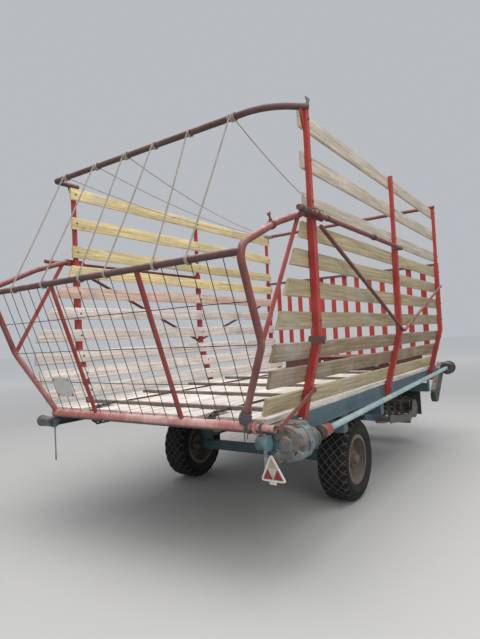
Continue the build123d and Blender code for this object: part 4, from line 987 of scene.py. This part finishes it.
def load_ropes():
    """Thin ropes from the bow to the front bar, each in a shallow parabola between two knots."""
    parts = []
    for head_x, foot_x in LOAD_ROPES:
        head = (head_x, BOW_Y + BOW_RADIUS + LOAD_ROPE, BOW_Z)
        foot = (foot_x, FRONT_Y - BOW_RADIUS - LOAD_ROPE, BOW_Z)
        parts += strands(sagging(head, foot, LOAD_SAG, 60), LOAD_ROPE, RIGHT, 0.045, 5, 5)
        parts.append(wrapped((foot_x, FRONT_Y, BOW_Z), RIGHT, BOW_RADIUS, LOAD_ROPE, 3.2))
        parts.append(wrapped((head_x + 0.021, BOW_Y, BOW_Z), RIGHT, BOW_RADIUS, LOAD_ROPE, 2.1))
    return parts


piece("ropes_over_load", load_ropes(), ROPE, "wagon", sharp=80)

# One row for each short end that stands out of a knot: its start, then how far it reaches
# back and how far it bends down.
ROPE_ENDS = (
    (0.752, -0.205, 2.884, -0.030, 0.055),
    (0.736, -0.208, 2.880, -0.042, 0.048),
    (0.388, -0.206, 2.882, -0.028, 0.040),
    (-0.266, -0.206, 2.882, -0.026, 0.036),
)


def rope_ends():
    """Short ends: each runs out evenly with t and bends down with the square of t."""
    t = np.linspace(0, 1, 8)[:, None]
    parts = []
    for x, y, z, back, down in ROPE_ENDS:
        path = at(x, y, z) + t * np.array([0.012, back, 0.006]) - t ** 2 * np.array([0.004, 0, down])
        parts += strands(path, 0.0045, RIGHT, 0.02, 5, 5)
    return parts


piece("rope_ends", rope_ends(), ROPE, "wagon", sharp=80)


TANGLE_RADIUS = 0.030
TANGLE_PITCH = 0.022
TANGLE_SPREAD = 0.006
TANGLE_WIRE = 0.0016


def wire_tangle(centre, count):
    """Loose loops of wire round a joint: circles whose radius wavers, each in its own plane."""
    parts = []
    angle = np.linspace(0, 2 * pi, 26, endpoint=False)[:, None]
    for number in range(count):
        axis = unit(np.array([0.55 * chance.normal(), 1.0, 0.6 * chance.normal()]))
        side = unit(np.cross(axis, UP))
        up = np.cross(side, axis)
        radius = TANGLE_RADIUS + TANGLE_SPREAD * chance.random() + 0.003 * np.sin(3 * angle + number)
        along = TANGLE_PITCH * (number - count / 2) + TANGLE_SPREAD * chance.normal()
        spoke = np.cos(angle) * side + np.sin(angle) * up
        parts.append(hoop(centre + (0, along, 0) + radius * spoke, TANGLE_WIRE, axis, 6))
    return parts


# One row for each lashing of the middle rail outside the right posts: its place along the
# rail, the radius of its wire and its turns.
LASHINGS = ((-0.160, 0.0018, 14), (0.120, 0.0018, 6), (-0.235, 0.0022, 5), (1.020, 0.0030, 5.3),
            (0.985, 0.0026, 2.6))
RAIL_X, RAIL_Z, RAIL_RADIUS = 1.241, 2.160, 0.017
lashings = [wrapped(at(RAIL_X, y, RAIL_Z), AHEAD, RAIL_RADIUS, wire, turns) for y, wire, turns in LASHINGS]
piece("wire_tangle_right", wire_tangle(at(1.238, -0.045, RAIL_Z), 6), ROPE_DARK, "wagon", sharp=80)
piece("wire_lashing", lashings, ROPE_DARK, "wagon", sharp=80)


def gate_rope_bundle():
    """Rope wound round the foot of the gate's right side tube and round the bar beside it,
    and two ends that sway as a sine while they hang."""
    run = unit(GATE_KNEE - GATE_FOOT)
    across = unit(np.cross(run, AHEAD))
    parts = [
        wrapped(GATE_FOOT + 0.080 * run, run, 0.022, 0.0050, 8.2, across),
        wrapped(GATE_FOOT + 0.074 * run, run, 0.029, 0.0046, 3.6, across),
        wrapped(at(1.018, -0.446, 0.890), RIGHT, 0.0225, 0.0035, 2.3),
        wrapped(at(0.930, -0.446, 0.890), RIGHT, 0.031, 0.0042, 2.4),
    ]
    t = np.linspace(0, 1, 10)[:, None]
    for x, y, z, down in ((0.917, -0.483, 0.892, 0.085), (0.938, -0.484, 0.890, 0.060)):
        path = at(x, y, z) + np.sin(3.0 * t) * np.array([0.007, -0.006, 0]) - t * np.array([0, 0, down])
        parts += strands(path, 0.004, RIGHT, 0.020, 5, 5)
    return parts


piece("gate_rope_bundle", gate_rope_bundle(), ROPE_GREY, "tailgate", sharp=80)


# Bolts and small fittings

def plank_bolts():
    """A dome head inside each plank and a nut outside its post, at the three posts."""
    dome = ((0.0, 0.0105), (0.0018, 0.0100), (0.0034, 0.0070), (0.0040, 0.0020))
    parts = []
    for number, row in enumerate(PLANKS):
        middle = row[0] - PLANK_HEIGHT / 2
        lean = 0.0 if row[0] > KNEE_Z else LEAN
        half = (UPPER_POST if number < UPPER_PLANKS else LOWER_POST) / 2
        for y in POST_ROWS:
            pair = [turned(dome, (-half - PLANK_THICK, y, 0), LEFT, 12)]
            pair += bolt((half, y, 0), RIGHT, 0.0085, 0.007)
            parts += both_sides([moved(part, (post_x(middle), 0, middle), lean) for part in pair])
    return parts


FOOT_BOLTS_Z = (0.815, 0.862)
SOCKET_BOLT_Z = 2.155
HINGE_BOLT_X = POST_X + 0.032
HINGE_BOLTS_Y = (-0.085, 0.090)
SLATS = range(-6, 7)
SLAT_PITCH = 0.170
SLAT_BOLTS_Z = (1.090, 2.165)
APRON_BOLTS_X = np.linspace(-0.76, 0.76, 9)
APRON_BOLT_Y, APRON_BOLT_Z = 3.7175, 0.6257


def frame_bolts():
    """Bolts of the post feet, the sockets, the hinges, the front wall's slats and the apron."""
    parts = []
    for y in POST_ROWS:
        for z in FOOT_BOLTS_Z:
            parts += both_sides(bolt((FOOT_X + LOWER_POST / 2, y, z), RIGHT, 0.011, 0.009))
        parts += both_sides(bolt((POST_X, y - LOWER_POST / 2, SOCKET_BOLT_Z), BEHIND, 0.008, 0.010))
    for y in HINGE_BOLTS_Y:
        parts += both_sides(bolt(at(HINGE_BOLT_X, y, HINGE_Z), RIGHT, 0.014, 0.010))
    for slat in SLATS:
        for z in SLAT_BOLTS_Z:
            parts += bolt((SLAT_PITCH * slat, FRONT_Y + 0.022, z), AHEAD, 0.009, 0.007)
    for x in APRON_BOLTS_X:
        parts += bolt(at(x, APRON_BOLT_Y, APRON_BOLT_Z), AHEAD, 0.008, 0.006)
    return parts


def post_gussets():
    """A three-cornered plate behind each rear post, under the end of the bow."""
    corners = ((-0.062, 2.846), (-0.0175, 2.705), (-0.0175, 2.846))
    return both_sides([plate(corners, 0.004, (1.175, REAR_Y, 0), AHEAD, UP, 0.006)])


def wing_nut():
    """Two wings and a stepped stem over the right rear post."""
    x = 1.205
    wing = ((-0.003, -0.010), (0.026, 0.004), (0.030, 0.022), (0.020, 0.024), (0.0, 0.008))
    stem = ((0.0, 0.010), (0.012, 0.010), (0.016, 0.006), (0.040, 0.006), (0.042, 0.004))
    wings = [plate(wing, 0.003, at(x - side * 0.0025, 0, 2.905), (0, side, 0), UP, 0.005)
             for side in (-1, 1)]
    return wings + [turned(stem, at(x, 0, 2.886), UP, 14)]


def knee_plate():
    """A plate with two bolts across the knee of the right rear post."""
    corners = ((1.132, 1.352), (1.246, 1.348), (1.250, 1.398), (1.136, 1.402))
    parts = [plate(corners, 0.006, at(0, -0.0245, 0), RIGHT, UP, 0.007)]
    for x in (1.145, 1.236):
        parts += bolt(at(x, -0.0315, 1.375), BEHIND, 0.008, 0.007)
    return parts


def arm_clamp():
    """A ring round the right arm of the gate, with its wing screw on top."""
    along = np.array([0, -0.910, -0.415])
    up = np.array([0, -0.415, 0.910])
    centre = at(1.170, -0.475, 2.0347)
    ring = ((-0.012, 0.0215), (-0.012, 0.0258), (-0.010, 0.0266), (0.010, 0.0266), (0.012, 0.0258),
            (0.012, 0.0215))
    screw = ((0.024, 0.010), (0.034, 0.010), (0.036, 0.006), (0.058, 0.006), (0.060, 0.004))
    ear = ((-0.004, -0.008), (0.018, 0.004), (0.020, 0.018), (0.010, 0.020), (-0.004, 0.008))
    parts = [turned(ring, centre, along, 28), turned(screw, centre, up, 12)]
    for side in (-1, 1):
        foot = centre + 0.052 * up + (0.002 * side, 0, 0)
        parts.append(plate(ear, 0.002, foot, side * along, up, 0.004))
    return parts


def plate_screws():
    """A screw at each corner of the blank plate on the gate."""
    middle_x, middle_down = -0.686, 0.790
    parts = []
    for across in (-0.084, 0.084):
        for down in (middle_down - 0.062, middle_down + 0.062):
            where = gate_point(middle_x + across, down / GATE_LENGTH, 0.0105)
            parts += bolt(where, GATE_NORMAL, 0.006, 0.004)
    return parts


piece("plank_bolts", plank_bolts(), BOLT, "wagon")
piece("frame_bolts", frame_bolts(), BOLT, "wagon")
piece("post_gussets", post_gussets(), POST_RED, "wagon")
piece("wing_nut", wing_nut(), BOLT, "wagon")
piece("knee_plate", knee_plate(), TUBE_BROWN, "wagon")
piece("arm_clamp", arm_clamp(), CLAMP_RED, "tailgate")
piece("plate_screws", plate_screws(), BOLT, "tailgate")


# Floor chains

CHAIN_X = 0.574
CHAIN_REAR_Y = REAR_Y - 0.300
CHAIN_FRONT_Y = REAR_Y + 2.800
CHAIN_Z = 0.870
CHAIN_RADIUS = 0.068
LINKS = 138
LINK_TILT = 0.085
LINK_LENGTH, LINK_WIDTH, LINK_CORNER = 0.056, 0.022, 0.007
LINK_RADIUS = 0.0042


def chain_links(x):
    """Links on an endless path round the two floor shafts: straight above and below, half
    circles at the ends. Each link is a closed rounded loop, tilted so that it hooks the next."""
    straight = CHAIN_FRONT_Y - CHAIN_REAR_Y
    half = straight + pi * CHAIN_RADIUS
    loop = rounded(LINK_LENGTH, LINK_WIDTH, LINK_CORNER, 2)
    parts = []
    for number in range(LINKS):
        way_back, s = divmod((number + 0.5) * 2 * half / LINKS, half)
        start, heading = (CHAIN_FRONT_Y, -1) if way_back else (CHAIN_REAR_Y, 1)
        turn = -pi * way_back - max(0.0, s - straight) / CHAIN_RADIUS
        y = start + heading * min(s, straight) - CHAIN_RADIUS * sin(turn)
        z = CHAIN_Z + CHAIN_RADIUS * cos(turn)
        turn += LINK_TILT
        along = np.array([0, cos(turn), sin(turn)])
        path = np.array([x, y, z]) + loop[:, :1] * along + loop[:, 1:] * np.array(RIGHT)
        parts.append(hoop(path, LINK_RADIUS, (0, -sin(turn), cos(turn)), 6))
    return parts


piece("chain_links", chain_links(CHAIN_X) + chain_links(-CHAIN_X), CHAIN, "wagon", ["floor_chains"])


# Reflector: white frame, cream above, white in the middle, red at both feet

REFLECTOR_Y = -0.413


def reflector_parts():
    """The base plate, its raised rim and its tab, then four triangles that join the middles
    of its sides."""
    corners = np.array([(0.977, 0.585), (1.146, 0.585), (1.051, 0.744)])
    tab_corners = ((1.030, 0.566), (1.078, 0.566), (1.078, 0.590), (1.030, 0.590))
    middle = corners.mean(axis=0)
    base = plate(corners, 0.010, at(0, REFLECTOR_Y, 0), RIGHT, UP, 0.0085, arc=5)
    inset = middle + (rounded_outline(corners, 0.010, 5) - middle) * 0.945
    rim_path = inset[:, :1] * RIGHT + inset[:, 1:] * UP + at(0, REFLECTOR_Y - 0.0075, 0)
    rim = hoop(rim_path, 0.0042, AHEAD, 8)
    tab = plate(tab_corners, 0.004, at(0, REFLECTOR_Y - 0.001, 0), RIGHT, UP, 0.004)
    a, b, top = middle + (corners - middle) * 0.80
    ab, bt, ta = (a + b) / 2, (b + top) / 2, (top + a) / 2
    fields = []
    for triangle in ((ta, bt, top), (ab, bt, ta), (a, ab, ta), (ab, b, bt)):
        centre = np.mean(triangle, axis=0)
        shrunk = centre + (np.array(triangle) - centre) * 0.94
        fields.append(plate(shrunk, 0.002, at(0, REFLECTOR_Y - 0.0083, 0), RIGHT, UP, 0.0035, arc=2))
    return [base, rim, tab], fields


frame_parts, lenses = reflector_parts()
LENS_CREAM = lens_finish("lens_cream", (0.60, 0.48, 0.30))
LENS_WHITE = lens_finish("lens_white", (0.66, 0.64, 0.58))
LENS_RED = lens_finish("lens_red", (0.36, 0.02, 0.015))
piece("reflector_frame", frame_parts, LAMP_WHITE, "wagon", ["reflector"])
piece("reflector_top", lenses[:1], LENS_CREAM, "wagon")
piece("reflector_middle", lenses[1:2], LENS_WHITE, "wagon")
piece("reflector_feet", lenses[2:], LENS_RED, "wagon")


# Gearboxes and shafts

INPUT_Z = 0.870
GEARBOX_X, GEARBOX_Z = 1.135, 0.795
GEARBOX_REAR = at(GEARBOX_X, -0.384, GEARBOX_Z)
LID_Y = -0.282


def lid(half_x, half_y, radius, z, thick, chamfer):
    """A plate with rounded corners on top of the rear gearbox."""
    corners = ((-half_x, -half_y), (half_x, -half_y), (half_x, half_y), (-half_x, half_y))
    return plate(corners, radius, at(GEARBOX_X, LID_Y, z), RIGHT, AHEAD, thick, chamfer, arc=4)


def gearbox_covers():
    """Turned rear cover, two rings, filler plug, pad and lid, two lugs below, and two sleeves
    with thicker ends behind the side rails."""
    cover = ((-0.004, 0.084), (0.004, 0.084), (0.006, 0.081), (0.006, 0.046), (0.010, 0.042),
             (0.017, 0.040), (0.019, 0.034), (0.019, 0.0))
    wide_ring = ((-0.009, 0.103), (-0.009, 0.111), (-0.007, 0.113), (0.007, 0.113), (0.009, 0.111),
                 (0.009, 0.103))
    slim_ring = ((-0.004, 0.103), (-0.004, 0.1075), (0.004, 0.1075), (0.004, 0.103))
    plug = ((0.0, 0.016), (0.010, 0.016), (0.012, 0.014), (0.014, 0.011))
    inner_lug = ((-0.150, 0.034), (-0.150, 0.037), (0.006, 0.039), (0.012, 0.036), (0.014, 0.024),
                 (0.022, 0.021), (0.024, 0.016), (0.024, 0.0))
    outer_lug = ((-0.120, 0.022), (-0.120, 0.024), (0.002, 0.026), (0.006, 0.023), (0.006, 0.0))
    parts = [
        turned(cover, GEARBOX_REAR, BEHIND, 48),
        turned(wide_ring, at(GEARBOX_X, -0.290, GEARBOX_Z), AHEAD, 64),
        turned(slim_ring, at(GEARBOX_X, -0.220, GEARBOX_Z), AHEAD, 64),
        turned(plug, at(1.150, -0.225, 0.906), UP, 6),
        lid(0.058, 0.076, 0.014, 0.878, 0.020, 0.003),
        lid(0.052, 0.070, 0.012, 0.898, 0.009, 0.002),
        turned(inner_lug, at(1.083, -0.384, 0.724), BEHIND, 32),
        turned(outer_lug, at(1.212, -0.384, 0.738), BEHIND, 24),
    ]
    for start, end, z in ((0.975, 1.052, 0.803), (-1.150, -0.965, 0.810)):
        length = end - start
        sleeve = ((0.0, 0.040), (0.004, 0.045), (0.020, 0.045), (0.022, 0.041), (length - 0.022, 0.041),
                  (length - 0.020, 0.045), (length - 0.004, 0.045), (length, 0.040))
        parts.append(turned(sleeve, at(start, -0.425, z), RIGHT, 32))
    return parts


def gearbox_bolts():
    """Bolts of the rear gearbox's cover, ring and lid, then round the two ends of the front
    gearbox: ahead of the long shaft and behind the input shaft."""
    parts = ring_of_bolts(GEARBOX_REAR + (0, -0.006, 0), BEHIND, 0.066, 8, 0.008)
    parts += ring_of_bolts(at(GEARBOX_X, -0.281, GEARBOX_Z), AHEAD, 0.108, 10, 0.006)
    for along in (-0.060, 0.060):
        for across in (-0.042, 0.042):
            parts += bolt(at(GEARBOX_X + across, LID_Y + along, 0.907), UP, 0.0065, 0.006)
    parts += ring_of_bolts(at(1.120, 4.096, 0.877), AHEAD, 0.044, 6, 0.008)
    parts += ring_of_bolts(at(0, 4.135, INPUT_Z), AHEAD, 0.060, 6, 0.008)
    return parts


piece("gearbox_covers", gearbox_covers(), BLUE_OILY, "wagon")
piece("gearbox_bolts", gearbox_bolts(), BOLT, "wagon")

# Turned pieces of the shaft line, as (distance along the shaft, radius)
SHAFT_REAR = at(1.120, 0.207, 0.772)
SHAFT_RUN = unit(np.array([0, 3.678, 0.105]))
FLANGE = ((-0.316, 0.054), (-0.316, 0.067), (-0.312, 0.070), (-0.298, 0.070), (-0.294, 0.0655),
          (-0.266, 0.0655), (-0.262, 0.070), (-0.246, 0.070), (-0.242, 0.067), (-0.242, 0.040))
BELL = ((-0.172, 0.0385), (-0.172, 0.0440), (-0.168, 0.0470), (-0.160, 0.0470), (-0.157, 0.0440),
        (-0.146, 0.0440), (-0.143, 0.0470), (-0.135, 0.0470), (-0.132, 0.0440), (-0.121, 0.0440),
        (-0.118, 0.0465), (-0.110, 0.0465), (-0.107, 0.0430), (-0.092, 0.0430), (-0.092, 0.0385))
GUARD_CUP = ((-0.093, 0.0385), (-0.093, 0.0425), (-0.090, 0.0440), (-0.058, 0.0436), (-0.055, 0.0420),
             (0.006, 0.0400), (0.016, 0.0390), (0.026, 0.0320), (0.036, 0.0245), (0.036, 0.0215))
COLLAR_STARTS = (1.10, 2.42, 3.50)


def on_shaft(profile, count):
    """A profile turned about the drive shaft, measured from its rear end."""
    return turned(profile, SHAFT_REAR, SHAFT_RUN, count)


def shaft_collars():
    """Three narrow rings on the long shaft."""
    inner, outer, width = 0.0215, 0.0240, 0.012
    return [on_shaft(((a, inner), (a, outer), (a + width, outer), (a + width, inner)), 28)
            for a in COLLAR_STARTS]


def front_hood():
    """A rubber bellows round the front gearbox: five ribs, each with sloping sides and a flat
    crown, between two thinner ends."""
    end, foot, crown = 0.0785, 0.0815, 0.0845
    profile = [(0.035, end)]
    for a in (0.036, 0.060, 0.084, 0.108, 0.132):
        profile += [(a, foot), (a + 0.003, crown), (a + 0.012, crown), (a + 0.015, foot)]
    profile.append((0.150, end))
    return turned(profile, at(1.120, 3.895, 0.877), AHEAD, 48)


# One row for each ring of the input shaft: its place along Y, the radius of its hollows and
# the share of the splines' full height there.
SPLINE_ROWS = (
    (4.140, 0.0150, 0.0), (4.177, 0.0150, 0.0), (4.178, 0.0145, 1.0), (4.238, 0.0145, 1.0),
    (4.240, 0.0138, 0.0), (4.247, 0.0138, 0.0), (4.249, 0.0145, 1.0), (4.264, 0.0145, 1.0),
    (4.267, 0.0138, 0.6),
)
SPLINE_HEIGHT = 0.0029


def splined_input():
    """Six splines: the radius rises and falls with a clipped cosine of six times the angle,
    and a groove runs round near the end."""
    angle = np.linspace(0, 2 * pi, 72, endpoint=False)
    tooth = np.clip(2.6 * np.cos(6 * angle) + 0.5, 0, 1)
    rings = []
    for y, low, share in SPLINE_ROWS:
        radius = low + SPLINE_HEIGHT * share * tooth
        ring = np.stack([radius * np.cos(angle), 0 * angle, -radius * np.sin(angle)], axis=-1)
        rings.append(ring + at(0, y, INPUT_Z))
    return loft(np.array(rings))


piece("flange_ring", [on_shaft(FLANGE, 48)], OILY, "wagon")
piece("shaft_bell", [on_shaft(BELL, 40)], HOOD, "shaft")
piece("shaft_guard_cup", [on_shaft(GUARD_CUP, 40)], GUARD_RED, "shaft")
piece("shaft_collars", shaft_collars(), BLUE_DRIVE, "shaft")
piece("front_hood", [front_hood()], HOOD, "wagon")
piece("splined_input", [splined_input()], STEEL, "input", ["input_shaft"], sharp=28)


# Apron: a rubber cloth bolted to its bar

APRON_HALF_WIDTH = 0.820
APRON_DROP = 0.3357
APRON_TOP = at(0, 3.7158, 0.6357)


def apron():
    """A hanging sheet: its height runs down evenly, and three sines of x, which grow towards
    its hem, lay it in soft folds."""
    across = np.linspace(-APRON_HALF_WIDTH, APRON_HALF_WIDTH, 110)
    down = np.linspace(0, 1, 26)
    x, t = np.meshgrid(across, down, indexing="ij")
    fold = 0.0040 * np.sin(9.5 * x + 0.7) + 0.0026 * np.sin(23.0 * x + 2.0 * t) + 0.0014 * np.sin(51.0 * x)
    y = APRON_TOP[1] + fold * t ** 1.3 + 0.0035 * t
    z = APRON_TOP[2] - APRON_DROP * t + 0.004 * t * np.sin(5.0 * x + 1.0)
    thing = piece("apron_sheet", [shell(np.stack([x, y, z], axis=-1))], CLOTH, "wagon", ["apron"])
    wall = thing.modifiers.new("wall", "SOLIDIFY")
    wall.thickness = 0.003
    wall.offset = 0.0


apron()


# Wheel fittings

NUT_CIRCLE = 0.080


def wheel_fittings():
    """Six nuts on their studs, the grease cap and the valve of the right wheel."""
    nut = ((0.0, 0.0135), (0.011, 0.0135), (0.014, 0.011))
    stud = ((0.013, 0.0065), (0.020, 0.0065), (0.0215, 0.005))
    cap = ((0.076, 0.045), (0.080, 0.047), (0.086, 0.047), (0.088, 0.042), (0.104, 0.040), (0.111, 0.034),
           (0.115, 0.020), (0.116, 0.004))
    valve = ((0.0, 0.006), (0.034, 0.006), (0.036, 0.0045), (0.046, 0.0045))
    parts = []
    for angle in np.arange(6) * pi / 3 + 0.2:
        where = HUB + (0.034, NUT_CIRCLE * cos(angle), NUT_CIRCLE * sin(angle))
        parts += [turned(nut, where, RIGHT, 6), turned(stud, where, RIGHT, 10)]
    parts.append(turned(cap, HUB, RIGHT, 32))
    parts.append(turned(valve, HUB + (0.012, 0.150, -0.060), (1, 0.10, -0.04), 10))
    return parts


wheel_nuts = wheel_fittings()
piece("wheel_nuts_right", wheel_nuts, BOLT, "wheel_right")
piece("wheel_nuts_left", mirrored(wheel_nuts), BOLT, "wheel_left")


# Parking jack

def jack_crank():
    """A round bar bent twice, with a grip on its end and a collar where it leaves the sleeve."""
    y = 4.560
    bends = ((0.034, 0.570), (0.105, 0.570), (0.118, 0.557), (0.118, 0.470), (0.131, 0.457), (0.215, 0.457))
    collar = ((-0.0035, 0.020), (0.014, 0.020), (0.018, 0.016))
    return [
        tube([at(x, y, z) for x, z in bends], 0.0075, AHEAD, 12),
        tube([at(0.135, y, 0.457), at(0.208, y, 0.457)], 0.0125, AHEAD, 16),
        turned(collar, at(0.036, y, 0.570), RIGHT, 24),
    ]


piece("jack_crank", jack_crank(), STEEL, "wagon")


# Stage: pale floor, soft light, the photograph's point of view

def studio_floor():
    """A wide level floor, painted paler far out as painted light, to make up for the lamps not reaching
    there.
    """
    reach = 60.0
    coat = Finish("studio_floor")
    far = coat.node("ShaderNodeVectorMath", [(0, coat.place())], operation="LENGTH")["Value"]
    # Painted light: the floor's colour grows paler with distance from the middle, where the lamps give less
    # light
    colour = coat.dyed(coat.between(far, 6.0, 16.0), (0.49, 0.48, 0.465), (0.93, 0.92, 0.90))
    mesh = bpy.data.meshes.new("studio_floor")
    corners = [(-reach, -reach, 0), (reach, -reach, 0), (reach, reach, 0), (-reach, reach, 0)]
    mesh.from_pydata(corners, [], [(0, 1, 2, 3)])
    mesh.materials.append(coat.done(colour, 0.9))
    floor = bpy.data.objects.new("studio_floor", mesh)
    bpy.context.scene.collection.objects.link(floor)


def studio_light():
    """An even sky, a large panel overhead and a smaller one from behind on the right."""
    world = bpy.data.worlds.new("studio")
    bpy.context.scene.world = world
    world.use_nodes = True
    sky = world.node_tree.nodes["Background"]
    sky.inputs["Color"].default_value = (0.86, 0.90, 0.95, 1.0)
    sky.inputs["Strength"].default_value = 0.56
    for name, where, target, size, power in (
        ("sky_panel", (1.0, -1.5, 8.5), (0, -0.5, 0.8), 8.0, 760.0),
        ("side_panel", (7.0, -6.0, 4.5), (0, -1.0, 1.0), 5.0, 200.0),
    ):
        data = bpy.data.lights.new(name, "AREA")
        data.size = size
        data.energy = power
        lamp = bpy.data.objects.new(name, data)
        lamp.location = where
        direction = Vector(target) - Vector(where)
        lamp.rotation_euler = direction.to_track_quat("-Z", "Y").to_euler()
        bpy.context.scene.collection.objects.link(lamp)


def photo_camera():
    """Camera at the photograph's place, fitted to the posts, planks and floor."""
    eye = Vector((2.528, REAR_Y - 2.814, 1.422))
    yaw, pitch, roll = radians(34.46), radians(1.969), radians(-2.893)
    focal_pixels = 487.1
    long_side_pixels = 639.0
    sensor = 36.0
    ahead = Vector((-sin(yaw) * cos(pitch), cos(yaw) * cos(pitch), sin(pitch)))
    right = Vector((cos(yaw), sin(yaw), 0))
    up = right.cross(ahead)
    camera_right = right * cos(roll) + up * sin(roll)
    camera_up = up * cos(roll) - right * sin(roll)
    data = bpy.data.cameras.new("camera")
    data.sensor_width = sensor
    data.lens = focal_pixels / long_side_pixels * sensor
    camera = bpy.data.objects.new("camera", data)
    turn = Matrix((camera_right, camera_up, -ahead)).transposed()
    camera.matrix_world = Matrix.Translation(eye) @ turn.to_4x4()
    bpy.context.scene.collection.objects.link(camera)
    bpy.context.scene.camera = camera


studio_floor()
studio_light()
photo_camera()
bpy.context.scene.view_settings.view_transform = "Standard"
bpy.context.view_layer.update()
